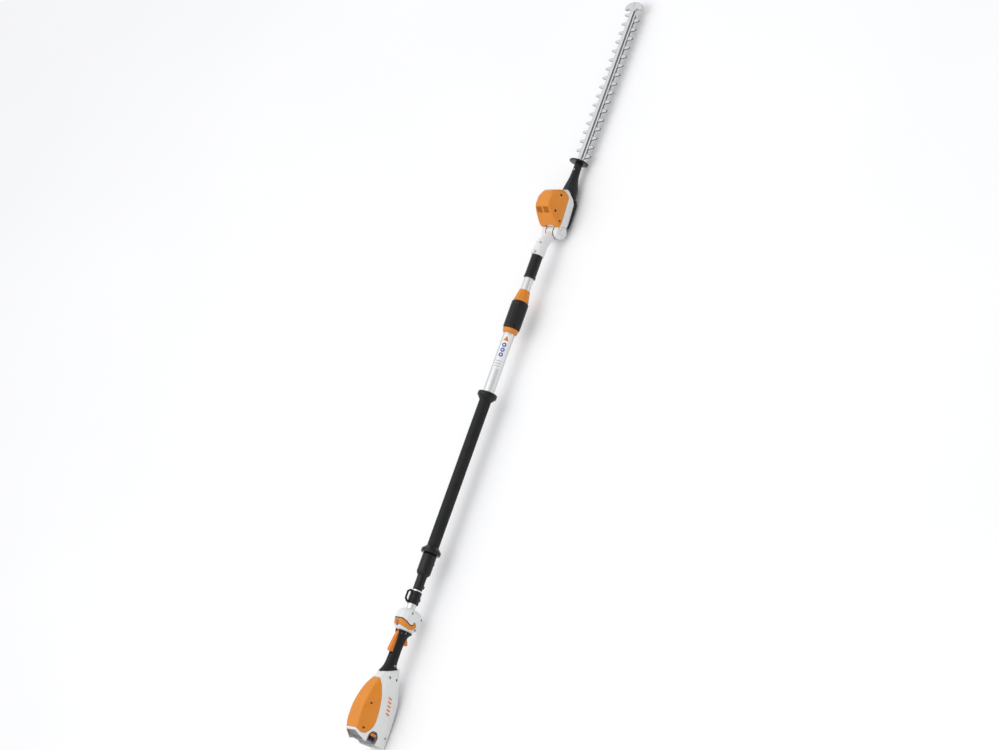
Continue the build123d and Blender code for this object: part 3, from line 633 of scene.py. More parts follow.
# ---- rear housing ---------------------------------------------------------------------
# stations: x, top height, top half width, half width, upper and lower side heights,
# bottom half width, bottom height
HOUSING = [
    (0, 65, 24, 39.5, 24, -26, 32, -67.8), (40, 69.8, 27, 43, 22, -28, 34, -65.5),
    (75, 71.2, 27.5, 43, 22, -29, 36, -62.5), (105, 70.6, 27, 43, 21, -29, 37, -60),
    (150, 61, 25, 41, 20, -27, 36.5, -54.5), (190, 47, 20, 34, 17, -23, 29.5, -44),
    (225, 33, 15, 25.5, 13, -15, 21, -33), (240, 29, 13.5, 23, 12, -12, 19, -28.5),
]
HOUSING_STOPS = [0, 6, 14, 24, 36, 50, 66, 84, 102, 120, 136, 150, 164, 178, 192, 206, 218, 230, 240]
HOUSING_RIM = [(-68, 2), (-30, 0), (30, 0), (45, 6), (66, 24), (72, 29)]
HOOD_SIDE = [
    (34, 76), (27, 62, 10), (21, 49, 8), (22, 36, 6), (30, 28, 8), (45, 19, 14), (66, 13, 20),
    (105, 16, 40), (150, 24, 40), (184, 31, 24), (205, 38, 12), (216, 54, 8), (222, 95), (34, 95),
]
HOOD_PLAN = [(0, 60), (186, 60), (198, 32, 16), (208, 22, 10), (213, 12, 8), (213, -12, 8),
             (208, -22, 10), (198, -32, 16), (186, -60), (0, -60)]
NOTCH_SIDE = [(-10, -18), (25, -18, 6), (38, -8, 5), (38, 12, 6), (25, 23, 7), (-10, 23)]


def follow(table, value):
    """Straight-line reading of a table of (value, result)."""
    if value <= table[0][0]:
        return table[0][1]
    for (a, low), (b, high) in zip(table, table[1:]):
        if value <= b:
            return low + (high - low) * (value - a) / (b - a)
    return table[-1][1]


def housing_ring(x, inset=0.0):
    top, top_wide, wide, up, low, base_wide, base = glide(HOUSING, x)
    half = [(top_wide - 0.7 * inset, top - inset, 7), (wide - inset, up, 12),
            (wide - inset, low, 9), (base_wide - 0.7 * inset, base + inset, 6)]
    ring = []
    for p in rounded(mirrored(half), steps=6):
        rear = follow(HOUSING_RIM, p.y) * max(0.0, 1 - x / 60)
        front = (250 - (p.y + 20) * 21 / 46 - 240) * max(0.0, min(1.0, (x - 180) / 60))
        ring.append(at(x + rear + front, p.x, p.y))
    return ring


def housing_cup():
    outer = [housing_ring(x) for x in reversed(HOUSING_STOPS)]
    inner = [housing_ring(x, 3.0) for x in HOUSING_STOPS[:-1]] + [housing_ring(236, 3.0)]
    return loft("cup", outer + inner, WHITE)


def grown(points, by):
    """Closed outline pushed outwards."""
    flat = [Vector(p[:2]) for p in points]
    area = sum(a.x * b.y - b.x * a.y for a, b in zip(flat, flat[1:] + flat[:1]))
    by = by if area > 0 else -by
    made = []
    for i, p in enumerate(flat):
        before = (p - flat[i - 1]).normalized()
        after = (flat[(i + 1) % len(flat)] - p).normalized()
        normal = Vector((before.y + after.y, -before.x - after.x))
        scale = max(0.4, normal.length_squared / 2)
        shifted = p + normal / scale * by
        made.append((shifted.x, shifted.y, *points[i][2:]))
    return made


def hood_region(by=0.0):
    region = prism("region", grown(HOOD_SIDE, by), -70, 70, ORANGE, 1.0, "xz", 0, 8)
    return carve(region, prism("plan", grown(HOOD_PLAN, by), -20, 100, ORANGE, 1.0, "xy", 0, 8),
                 "INTERSECT")


def screw_holes(spots, radius=4.3):
    """Cutters for the recesses round the screws at spots (x, y, z, rise)."""
    holes = []
    for x, y, z, rise in spots:
        for side in (-1, 1):
            facing = Vector((0, side, rise)).normalized()
            spot = at(x, side * y, z) - facing * 0.4 * MM
            turn = facing.to_track_quat("Z", "Y").to_matrix().to_4x4()
            verts = []
            for height in (0, 12):
                for k in range(32):
                    a = 2 * math.pi * k / 32
                    verts.append(Vector((radius * math.cos(a), radius * math.sin(a), height)) * MM)
            verts = [Matrix.Translation(spot) @ turn @ v for v in verts]
            holes.append(new_object("hole", verts, capped_faces(32), BLACK))
    return join("holes", holes)


HOOD_SCREWS = [(36, 35.5, 46, 0.36), (116, 34.5, 49, 0.36)]
HOUSING_SCREWS = [(216, 24.6, 6, 0), (218, 24.0, -22, 0), (34, 36.4, -50, 0)]


def split_halves(obj, left, right, body, slot):
    """Left and right halves of a piece, meeting in a fine seam."""
    for name, side in ((left, 1), (right, -1)):
        low, high = sorted((side * 0.12, side * 80))
        box = prism("half", [(-20, low), (LENGTH + 20, low), (LENGTH + 20, high), (-20, high)],
                    -120, 120, WHITE, 0.01, "xy", 0, 1)
        part = obj.copy()
        part.data = obj.data.copy()
        part.name = "look_" + name
        bpy.context.scene.collection.objects.link(part)
        carve(part, box, "INTERSECT")
        soften(part, 0.6, 2, 42)
        place(part, body, slot, name)
    bpy.data.objects.remove(obj)


def make_rear_housing():
    hood = carve(housing_cup(), hood_region(), "INTERSECT")
    carve(hood, screw_holes(HOOD_SCREWS))
    repaint(hood, "look_hood", ORANGE)
    soften(hood, 1.0, 3, 42)
    place(hood, "shaft", "orange_cover", "housing_hood")
    shell = carve(housing_cup(), hood_region(0.8))
    carve(shell, prism("notch", NOTCH_SIDE, -70, 70, WHITE, 1, "xz", 0, 6))
    carve(shell, screw_holes(HOUSING_SCREWS))
    split_halves(shell, "housing_left", "housing_right", "shaft", "white_housing")
    stripe_edge = [housing_ring(x, 3.2) for x in (1.5, 6, 12)] + [housing_ring(x, 4.4) for x in (12, 1.5)]
    liner = loft("liner", stripe_edge + stripe_edge[:1], ORANGE, capped=False)
    upper = prism("upper", [(-20, 36), (60, 36), (60, 100), (-20, 100)], -70, 70, WHITE, 1, "xz", 0, 1)
    carve(liner, upper, "INTERSECT")
    liner.name = "look_bay_trim"
    place(liner, "shaft", "orange_cover")


def make_side_marks():
    """Row of slanted bars on each side of the housing."""
    marks = []
    for side in (-1, 1):
        low, high = sorted((side * 34, side * 50))
        for k in range(5):
            x, z = 100 + 12.2 * k, -21 + 2.2 * k
            bar = [(x, z - 6.5, 1), (x + 5.5, z - 7.5, 1), (x + 8.5, z + 7.5, 1), (x + 3, z + 8.5, 1)]
            marks.append(prism("bar", bar, low, high, ORANGE_SMOOTH, 1, "xz", 0, 3))
    bars = carve(join("bars", marks), loft("skin", [housing_ring(x, -0.25) for x in HOUSING_STOPS],
                                           ORANGE_SMOOTH), "INTERSECT")
    carve(bars, loft("core", [housing_ring(x, 0.4) for x in HOUSING_STOPS], ORANGE_SMOOTH))
    bars.name = "look_side_marks"
    place(bars, "shaft", "orange_cover")


def make_battery():
    """Battery whose rear face follows the bay's slanted rim."""
    stations = [2, 3, 5, 9, 16, 28, 50, 80, 110, 140, 146, 148]
    rings = []
    for x in stations:
        wide = 37.6 - (1.2 if x in (2, 148) else 0.4 if x in (3, 146) else 0)
        half = [(25, 60.5, 5), (wide, 22, 7), (wide, -16, 5), (wide - 3, -21.8, 3)]
        ring = []
        for p in rounded(mirrored(half), steps=5):
            rear = (follow(HOUSING_RIM, p.y) * 0.95 + 2) * max(0.0, 1 - x / 60)
            ring.append(at(x + rear, p.x, p.y))
        rings.append(ring)
    case = loft("look_battery", rings, BATTERY)
    pocket = [(-20, -20), (12, -20), (12, 20), (-20, 20)]
    carve(case, prism("pocket", pocket, 24, 43, BATTERY, 3, "xy", 0, 4))
    for k in range(3):
        groove = [(-5, -34), (4.8, -34), (4.8, 34), (-5, 34)]
        carve(case, prism("groove", groove, -14 + 8 * k, -11.5 + 8 * k, BATTERY, 0.5, "xy", 0, 2))
    for side in (-1, 1):
        low, high = sorted((side * 31.5, side * 50))
        well = [(-4, -11, 2), (41, -11, 3), (41, 17, 3), (-4, 17, 2)]
        carve(case, prism("well", well, low, high, BATTERY, 2, "xz", 0, 3))
    for y in (-9, 0, 9):
        slot = [(144, y - 1.5), (152, y - 1.5), (152, y + 1.5), (144, y + 1.5)]
        carve(case, prism("contact", slot, 2, 18, BATTERY, 0.3, "xy", 0, 1))
    soften(case, 0.6, 2, 42)
    place(case, "battery", "battery_plastic", "battery_case")
    for name, side in (("left", 1), ("right", -1)):
        press = prism("press", [(22, -8, 2), (31, -8, 2), (31, 14, 3), (22, 14, 2)],
                      *sorted((side * 35.5, side * 41.3)), ORANGE_SMOOTH, 2, "xz", 1.0, 3)
        shank = prism("shank", [(9, -7.6, 2), (38, -7.6, 2), (38, 13.6, 2), (9, 13.6, 2)],
                      *sorted((side * 35.6, side * 38.4)), BLACK, 2, "xz", 0.5, 3)
        ribs = [prism("rib", [(x, -6.5, 0.8), (x + 2, -6.5, 0.8), (x + 2, 12.5, 0.8), (x, 12.5, 0.8)],
                      *sorted((side * 38, side * 40.6)), BLACK, 0.8, "xz", 0.4, 2)
                for x in (10.4, 14.2, 18)]
        lever = join("look_latch_" + name, [press, shank] + ribs)
        body = "battery_lever_" + name
        place(lever, body, "orange_button", "battery_latch_" + name)


def make_bay_frame():
    """Tray floor and bulkhead, kept inside the shell."""
    shape = [(14, -28, 1), (155, -28, 1), (155, 44, 1), (152, 44, 1), (152, -24, 2), (14, -24, 1)]
    frame_piece = prism("look_bay_frame", shape, -36, 36, BLACK, 1, "xz", 0, 3)
    inner = loft("inner", [housing_ring(x, 3.5) for x in HOUSING_STOPS], BLACK)
    carve(frame_piece, inner, "INTERSECT")
    opening = [(148, -14), (160, -14), (160, 14), (148, 14)]
    carve(frame_piece, prism("opening", opening, -2, 22, BLACK, 1.5, "xy", 0, 3))
    soften(frame_piece, 0.4, 2, 42)
    place(frame_piece, "shaft", "black_plastic", "battery_bay_frame")


# ---- handle and levers ----------------------------------------------------------------
HANDLE = [
    (228, 24.5, 30.5, 1.5), (233, 22.6, 27.4, 1.2), (240, 20, 23.8, 0.8), (250, 18, 21, 0.3),
    (264, 17, 19.3, 0),
    (284, 16.5, 18.2, 0), (304, 16.4, 17.6, 0), (326, 16.5, 17.8, -0.5), (346, 17.4, 19.6, -1),
    (358, 18.6, 22, -2), (366, 21, 26.5, -4), (371, 23.5, 30, -6),
]


def handle_ring(x, inset=0.0):
    wide, high, middle = glide(HANDLE, x)
    ring = []
    for k in range(64):
        a = 2 * math.pi * k / 64
        c, s = math.cos(a), math.sin(a)
        y = (wide - inset) * math.copysign(abs(c) ** 0.88, c)
        z = middle + (high - inset) * math.copysign(abs(s) ** 0.94, s)
        rear = (250 - (z + 20) * 21 / 46 - 228) * max(0.0, 1 - (x - 228) / 40)
        ring.append(at(x + rear, y, z))
    return ring


def make_handle():
    stops = [228, 230, 233, 237, 242, 248, 256, 266, 280, 296, 312, 328, 342, 352, 360, 366, 371]
    outer = [handle_ring(x) for x in stops]
    inner = [handle_ring(x, 3.0) for x in reversed(stops)]
    handle = loft("handle", outer + inner + outer[:1], GRIP, capped=False)
    for low, high, reach in ((-50, -8, 6.6), (8, 50, 7.6)):
        start = 326 if low < 0 else 292
        slot = [(start, -reach), (371.5, -reach), (371.5, reach), (start, reach)]
        carve(handle, prism("slot", slot, low, high, GRIP, 2.0, "xy", 0, 4))
    carve(handle, screw_holes([(257, 16.4, -5, 0), (366, 17.6, -1, 0)], 3.9))
    split_halves(handle, "handle_left", "handle_right", "shaft", "black_grip")


TRIGGER = [(332, -31, 2), (336, -35.5, 2), (346, -30.5, 6), (358, -22, 8), (366, -16, 2),
           (365, -7, 2), (356, -5, 2), (344, -8, 3), (334, -12, 2)]
LOCKOUT = [(297, 12.5, 1), (296, 26, 2), (300, 30, 2.5), (318, 28, 8), (345, 24, 8), (366, 19, 3),
           (368, 11, 2), (360, 8, 2), (345, 11, 2), (320, 13, 2)]


def make_levers():
    trigger = prism("look_trigger", TRIGGER, -5.5, 5.5, ORANGE_SMOOTH, 1.5, "xz", 1.4)
    place(trigger, "trigger", "orange_button", "trigger")
    lockout = prism("look_lockout", LOCKOUT, -6.5, 6.5, ORANGE_SMOOTH, 1.5, "xz", 1.4)
    place(lockout, "lockout_lever", "orange_button", "lockout_lever")


# ---- control housing ------------------------------------------------------------------
# stations: x, half width, top height, bottom height
CONTROL = [
    (371, 19, 18, -25), (374, 22, 23.5, -30), (379, 25.4, 28.5, -36), (388, 28.7, 33.5, -42),
    (400, 30.8, 35.8, -46.5), (412, 31.4, 36, -50), (422, 30.8, 35, -51), (431, 28.8, 32, -48.5),
    (438, 25.6, 27, -43.5), (443, 21, 19.5, -35), (445.5, 16.5, 12, -25),
]


def control_ring(x, inset=0.0):
    wide, top, base = glide(CONTROL, x)
    wide, top, base = wide - inset, top - inset, base + inset
    tall = top - base
    half = [(0.5 * wide, top, 9), (0.93 * wide, top - 0.16 * tall, 14), (wide, top - 0.5 * tall, 30),
            (0.86 * wide, base + 0.15 * tall, 14), (0.42 * wide, base, 9)]
    outline = rounded(mirrored(half), steps=6)
    return [at(x, p.x, p.y) for p in outline]


CONTROL_STOPS = [371, 372.5, 375, 379, 384, 390, 397, 405, 413, 421, 428, 434, 438.5, 442, 444.3, 445.5]
BAND = [
    (384, 60), (404, 60), (404, 34, 6), (398, 20, 14), (391.5, 2, 10), (394, -8, 5), (403, -9, 3),
    (406, -12, 2), (402, -20, 5), (392, -24, 8), (382, -15, 10), (378.5, 0, 14), (381, 20, 14),
    (385, 34, 6),
]
BAND_EDGE = [
    (403.5, 60), (406.6, 60), (406.6, 34, 6), (400.6, 20, 14), (394.4, 3, 8), (396.5, -5.5, 4),
    (404, -6.3, 2), (407.5, -9, 1.5), (406, -11.5, 1.5), (402.5, -8.7, 2), (394, -7.8, 5),
    (391.3, 2, 10), (397.6, 20, 14), (403.5, 34, 6),
]


def control_form(inset=0.0):
    return loft("form", [control_ring(x, inset) for x in CONTROL_STOPS], WHITE)


def make_control_housing():
    slot = [(381, -6), (400, -6), (400, 6), (381, 6)]
    shell = control_form()
    carve(shell, rod("bore", 360, 460, 14.4))
    carve(shell, prism("slot", slot, 20, 50, WHITE, 1.5, "xy", 0, 3))
    carve(shell, prism("band", grown(BAND, 0.5), -70, 70, WHITE, 3, "xz", 0, 5))
    core = control_form(1.6)
    carve(core, rod("bore", 360, 460, 14.4))
    carve(core, prism("slot", slot, 20, 50, WHITE, 1.5, "xy", 0, 3))
    carve(core, prism("inside", grown(BAND, 1.5), -70, 70, WHITE, 3, "xz", 0, 5), "INTERSECT")
    carve(shell, core, "UNION")
    carve(shell, screw_holes([(430, 26.2, 8, 0), (424, 25.4, -36, 0), (386, 24.8, -26, 0)], 4.1))
    split_halves(shell, "control_left", "control_right", "shaft", "white_housing")
    trim = control_form(0.35)
    carve(trim, prism("band", BAND, -70, 70, ORANGE, 3, "xz", 0, 5), "INTERSECT")
    carve(trim, control_form(1.55))
    carve(trim, prism("slot", slot, 20, 50, WHITE, 1.5, "xy", 0, 3))
    repaint(trim, "look_control_band", ORANGE)
    soften(trim, 0.5, 2, 42)
    place(trim, "shaft", "orange_cover", "control_trim")
    edge = control_form(-0.25)
    carve(edge, prism("band", BAND_EDGE, -70, 70, BLACK, 1, "xz", 0, 4), "INTERSECT")
    carve(edge, control_form(1.2))
    repaint(edge, "look_band_edge", BLACK)
    place(edge, "shaft", "black_plastic")


def rod(name, start, stop, radius, segments=64):
    """Solid round bar along the shaft, for cutting."""
    verts = []
    for x in (start, stop):
        for k in range(segments):
            a = 2 * math.pi * k / segments
            verts.append(at(x, radius * math.cos(a), radius * math.sin(a)))
    return new_object(name, verts, capped_faces(segments), BLACK)


# ---- tubes, sleeves and collars -------------------------------------------------------
OUTER_R, OUTER_BORE = 18.5, 16.7
INNER_R, INNER_BORE = 15.75, 14.25
REAR_R, REAR_BORE = 14.0, 12.0
HOSE_R = 19.6


def make_tubes():
    def groove(x, a, r):
        near = min(abs((a - spot + math.pi) % (2 * math.pi) - math.pi) for spot in GROOVES)
        return -0.45 * max(0.0, 1 - (near / 0.05) ** 2) if r > 17.5 else 0.0
    start, stop = span("outer_tube")
    tube = lathe("look_outer_tube", [(start, OUTER_BORE), (stop, OUTER_BORE), (stop, OUTER_R),
                                     (start, OUTER_R)], ALUMINIUM, radius=0.4, segments=240,
                 relief=groove)
    place(tube, "shaft", "tube_aluminium", "outer_tube")
    for name, body, bore, outer in (("inner_tube", "inner_shaft", INNER_BORE, INNER_R),
                                    ("rear_tube", "shaft", REAR_BORE, REAR_R)):
        start, stop = span(name)
        tube = lathe("look_" + name, [(start, bore), (stop, bore), (stop, outer), (start, outer)],
                     ALUMINIUM, radius=0.4, segments=128)
        place(tube, body, "tube_aluminium", name)


GROOVES = [math.radians(a) for a in (62, 118, 152, 208, 242, 298, 332, 28)]


def make_sleeves():
    collar = [(632, OUTER_R), (656, OUTER_R), (656, 21), (653, 24, 3), (647, 29, 3), (645, 32, 2.5),
              (634, 32, 2.5), (632, 30, 2)]
    place(lathe("look_lower_collar", collar, BLACK, segments=128), "shaft", "black_plastic",
          "lower_collar")
    collar = [(1162, OUTER_R), (1187, OUTER_R), (1187, 30, 2), (1185, 32, 2.5), (1174, 32, 2.5),
              (1172, 29, 3), (1165, 24, 3), (1162, 21)]
    place(lathe("look_upper_collar", collar, BLACK, segments=128), "shaft", "black_plastic",
          "upper_collar")

    def knurl(x, a, r):
        if r < 19:
            return 0.0
        fade = min(1.0, (x - 658) / 4, (1160 - x) / 4)
        wave = abs(math.sin(18 * a + x * 0.24)) ** 3 + abs(math.sin(18 * a - x * 0.24)) ** 3
        return -0.35 * min(1.0, wave) * max(0.0, fade)
    start, stop = span("hose_grip")
    stops = [start + (stop - start) * i / 420 for i in range(421)]
    profile = [(start, OUTER_R), (stop, OUTER_R)] + [(x, HOSE_R) for x in reversed(stops)]
    hose = lathe("look_hose_grip", profile, HOSE, radius=0.01, steps=0, segments=144, relief=knurl,
                 crease=60)
    place(hose, "shaft", "hose_rubber", "hose_grip")


def strap_eye(x, top, radius=7.0):
    """Half-round wire loop hanging under a sleeve, its feet let into it."""
    points = [at(x - radius * math.cos(a), 0, top - 1.15 * radius * math.sin(a))
              for a in (math.pi * k / 8 for k in range(9))]
    feet = [at(x - radius, 0, top + 3)] + points + [at(x + radius, 0, top + 3)]
    return swept("eye", feet, 1.9, BLACK)


def make_tube_sleeve():
    profile = [(509, REAR_R), (605, REAR_R), (605, OUTER_R), (632, OUTER_R), (632, 21.5, 1.2),
               (627, 23, 2), (569, 23, 2), (563, 20.6, 1.5), (561, 18.6, 1), (559, 17.2, 1),
               (557, 15.6, 2), (512, 15.5, 1), (509, 14.8, 0.5)]

    def seam(x, a, r):
        near = abs((a + math.pi / 2) % math.pi - math.pi / 2)
        return -0.35 if near < 0.02 and r > 15.4 else 0.0
    body = lathe("body", profile, BLACK, segments=144, relief=seam)
    eyes = [strap_eye(525.5, -15.2, 6.5), strap_eye(606.5, -22, 6.5)]
    place(join("look_tube_sleeve", [body] + eyes), "shaft", "black_plastic", "tube_sleeve")


def make_harness_clamp():
    profile = [(462, REAR_R), (504, REAR_R), (504, 17.6, 0.8), (503, 18.5, 0.8), (494, 18.5, 0.5),
               (493.4, 17.7, 0.3), (490.6, 17.7, 0.3), (490, 18.5, 0.5), (476, 18.5, 0.5),
               (475.4, 17.7, 0.3), (472.6, 17.7, 0.3), (472, 18.5, 0.5), (463, 18.5, 0.8),
               (462, 17.6, 0.8)]
    body = lathe("body", profile, BLACK, segments=144)
    loop = [(463, 14, 3), (503, 14, 3), (505, 26, 5), (496, 37, 6), (470, 37, 6), (461, 26, 5)]
    hoop = prism("hoop", loop, -3, 3, BLACK, 4, "xz", 0, 6)
    window = [(469, 19.5, 2), (497, 19.5, 2), (498.4, 25.6, 3.5), (492.6, 32, 4), (473.4, 32, 4),
              (467.6, 25.6, 3.5)]
    carve(hoop, prism("window", window, -8, 8, BLACK, 3, "xz", 0, 6))
    carve(hoop, rod("bore", 450, 515, 17))
    soften(hoop, 1.6, 4, 42)
    eye = strap_eye(483, -17.6, 6.5)
    place(join("look_harness_clamp", [body, hoop, eye]), "shaft", "black_plastic", "harness_clamp")


def make_clamp():
    ring = [(1396, OUTER_R), (1410, OUTER_R), (1410, 26, 0.8), (1400, 24.6, 2), (1396, 22, 1.5)]
    place(lathe("look_clamp_ring", ring, ORANGE, segments=128), "shaft", "orange_cover", "clamp_ring")

    def grooves(x, a, r):
        if r < 27 or not 1421 < x < 1497:
            return 0.0
        near = abs((a * 12 / (2 * math.pi) + 0.5) % 1 - 0.5) / 12 * 2 * math.pi
        fade = min(1.0, (x - 1421) / 5, (1497 - x) / 5)
        return -1.3 * fade * max(0.0, 1 - (near / 0.09) ** 2)
    stops = [1416 + 86 * i / 40 for i in range(41)]
    grip = [(1410.4, 21.4), (1500, 21.4), (1500, 16.15), (1506, 16.15), (1506, 25, 1.5)]
    grip += [(x, 28) for x in reversed(stops)] + [(1410.4, 26, 1.5)]
    place(lathe("look_clamp_grip", grip, BLACK, radius=0.5, segments=288, relief=grooves),
          "clamp_nut", "black_plastic", "clamp_grip")
    cone = [(1506, 16.15), (1547, 16.15), (1547, 17.75, 0.5), (1541, 19.15, 1), (1540, 18.15, 0.4),
            (1538, 18.15, 0.4), (1537, 19.55, 1), (1524, 22.4, 12), (1509, 24.8, 2), (1506, 25, 0.8)]

    def slots(x, a, r):
        if not (1510 < x < 1534 and r > 19):
            return 0.0
        near = abs((a * 9 / (2 * math.pi) + 0.5) % 1 - 0.5) / 9 * 2 * math.pi
        return -0.9 if near < 0.04 else 0.0
    fine = [(x, 24.9 - (x - 1508) * 0.18) for x in range(1534, 1508, -1)]
    cone = cone[:7] + fine + cone[-1:]
    place(lathe("look_clamp_cone", cone, ORANGE, radius=0.4, segments=216, relief=slots),
          "clamp_nut", "orange_cover", "clamp_cone")


def make_front_sleeve():
    sleeve = [(1591, INNER_R), (1670, INNER_R), (1670, 18, 0.6), (1669, 18.5, 0.6), (1598, 18.5, 0.8),
              (1597, 19.6, 0.6), (1592, 19.6, 0.8), (1591, 18.6, 0.5)]
    place(lathe("look_front_sleeve", sleeve, BLACK, segments=128), "inner_shaft", "black_plastic",
          "front_sleeve")


# ---- swivel arm -----------------------------------------------------------------------
PIVOT_X, PIVOT_Z = 1770.0, -33.0
DRUM_R = 22.5
# stations: x and height of the middle, slope in degrees, half width, half height
ARM = [
    (1671, 0, 0, 20.2, 20.2), (1684, 0, 0, 20.5, 20.5), (1700, -1, -6, 20, 20.3),
    (1714, -4, -20, 18.8, 19.4), (1728, -10, -30, 17.6, 18), (1744, -19, -34, 17, 17.4),
    (1758, -27, -34, 16.9, 18), (1768, -33, -34, 16.9, 18.5),
]


def arm_ring(station):
    x, z, slope, wide, high = station
    tilt = math.radians(slope)
    ring = []
    for k in range(64):
        a = 2 * math.pi * k / 64
        y = wide * math.copysign(abs(math.cos(a)) ** 0.85, math.cos(a))
        rise = high * math.copysign(abs(math.sin(a)) ** 0.85, math.sin(a))
        ring.append(at(x - rise * math.sin(tilt), y, z + rise * math.cos(tilt)))
    return ring


def make_arm():
    rows = []
    for i in range(29):
        x = ARM[0][0] + (ARM[-1][0] - ARM[0][0]) * i / 28
        rows.append((x, *glide(ARM, x)))
    arm = loft("look_arm", [arm_ring(row) for row in rows], WHITE)
    drum = turned_y("drum", [(-15.6, 0), (-15.6, DRUM_R, 0.8), (15.6, DRUM_R, 0.8), (15.6, 0)], WHITE,
                    PIVOT_X, PIVOT_Z)
    carve(arm, drum, "UNION")
    for x, top in ((1677, 26), (1713, 19)):
        lug = prism("lug", [(x - 5, top - 14), (x + 5, top - 14), (x + 5, top, 3), (x - 5, top, 3)],
                    -8, 8, WHITE, 2, "xz", 0, 4)
        carve(arm, lug, "UNION")
        dimple = turned_y("dimple", [(-20, 0), (-20, 4.2, 0.1), (-7.2, 4.2, 0.1), (-7.2, 0)], WHITE,
                          x, top - 4 if x < 1700 else top - 5)
        carve(arm, dimple)
    carve(arm, rod("bore", 1650, 1700, INNER_R + 0.1))
    carve(arm, turned_y("pin", [(-30, 0), (-30, 5.1, 0.1), (30, 5.1, 0.1), (30, 0)], WHITE,
                        PIVOT_X, PIVOT_Z))
    soften(arm, 0.6, 2, 42)
    place(arm, "inner_shaft", "white_housing", "swivel_arm")
    # Black rings beside the drum, standing in for the shade in the gap between drum and notch: painted
    # shade.
    rings = []
    for side in (-1, 1):
        low, high = sorted((side * 15.7, side * 17.9))
        outline = [(low, 5.2, 0.2), (low, DRUM_R + 0.5, 0.4), (high, DRUM_R + 0.5, 0.4), (high, 5.2, 0.2)]
        rings.append(ring_y("ring", outline, BLACK))
    place(join("look_drum_shade_rings", rings), "inner_shaft", "black_plastic")


# ---- cutter head ----------------------------------------------------------------------
# stations: z, rear x, crease half width, x and half width of the flank, front x and half width
HEAD = [
    (-46, 1782, 33, 1800, 38, 1889, 27), (-41, 1780, 37, 1797, 41, 1893, 29),
    (-22, 1779, 41, 1795, 45, 1907.5, 31), (-10, 1779, 42, 1795, 45, 1912, 31),
    (-2, 1781.5, 43, 1797, 44.5, 1908.5, 31.5), (10, 1789, 42, 1804, 43, 1903.5, 32),
    (24, 1799.5, 39.5, 1813, 40.5, 1897.5, 31.5), (40, 1811.5, 36, 1822, 36.5, 1889, 30),
    (49, 1819.5, 33, 1830, 33.6, 1883, 28.5), (53.5, 1824, 31, 1835, 31.6, 1877.5, 27),
    (56.2, 1828, 29, 1840, 29.6, 1869, 25), (57, 1833, 26, 1844, 27, 1862, 23),
]


def head_ring(z, inset=0.0):
    rear, crease, mid_x, wide, front, front_wide = glide(HEAD, z)
    square = 5 * min(1.0, max(0.0, (-28 - z) / 8))      # fuller corner where the nose joins on
    half = [(rear + inset, crease - inset, 4.5), (mid_x, wide - inset, 30),
            (front - 16, front_wide + 5 - inset, 14), (front - inset, front_wide - 9 + square, 9)]
    outline = rounded(half + [(x, -y, r) for x, y, r in reversed(half)], steps=6)
    return [at(p.x, p.y, z) for p in outline]


HEAD_STOPS = [-46, -44, -41, -35, -28, -22, -16, -10, -5, 0, 6, 12, 18, 24, 30, 36, 41, 45, 49, 52,
              54, 55.3, 56.3, 57]


def head_cup():
    outer = [head_ring(z) for z in reversed(HEAD_STOPS)]
    inner = [head_ring(max(z, -43), 3.0) for z in HEAD_STOPS if z < 54]
    return loft("cup", outer + inner, WHITE)


HOOD_LINE = [(1760, -12), (1884, -12, 6), (1897, 2, 6), (1903, 14, 4), (1940, 14), (1940, 90),
             (1760, 90)]
EAR_IN, EAR_OUT = 18.0, 36.0
CRANK_X = 1866.8
STROKE = 8                 # each blade, either way
TAIL_REACH = 30.4          # round the ring on a blade's tail, with its clearance


def vent_cutters():
    """Two groups of slots in the sloping rear face of the hood."""
    cutters = []
    along, out = Vector((0.74, 0.67)), Vector((-0.67, 0.74))
    middle = Vector((1816.5, 44))
    for side in (-1, 1):
        for k in range(5):
            y = side * (6 + 4.8 * k)
            slot = [middle + along * a + out * b for a, b in ((-11, -6), (10, -6), (10, 5), (-11, 5))]
            cutters.append(prism("vent", slot, y - 1.6, y + 1.6, BLACK, 1, "xz", 0, 2))
    return join("vents", cutters)


HEAD_SCREWS = [(1797, 41.6, -3, 0.25), (1821, 36.0, 25, 0.25), (1878, 31.6, 21, 0.25)]


def notch_cutter(radius, reach=EAR_IN):
    return turned_y("notch", [(-reach, 0), (-reach, radius, 0.1), (reach, radius, 0.1), (reach, 0)],
                    BLACK, PIVOT_X, PIVOT_Z)


def make_motor_hood():
    hood = carve(head_cup(), prism("line", HOOD_LINE, -80, 80, ORANGE, 4, "xz", 0, 6), "INTERSECT")
    carve(hood, screw_holes(HEAD_SCREWS, 4.3))
    carve(hood, vent_cutters())
    carve(hood, notch_cutter(26.5))
    carve(hood, notch_cutter(34))
    repaint(hood, "look_motor_hood", ORANGE)
    soften(hood, 0.9, 3, 42)
    place(hood, "cutter_head", "orange_cover", "motor_hood")
    # Black plate behind the vent slots, standing in for the shade inside the hood: painted shade.
    behind = [(1805.5, 28, 1), (1828, 49, 1), (1826.5, 50.6, 1), (1804, 29.6, 1)]
    liner = prism("look_vent_shade_plate", behind, -28, 28, BLACK, 1, "xz", 0, 2)
    place(liner, "cutter_head", "black_plastic")


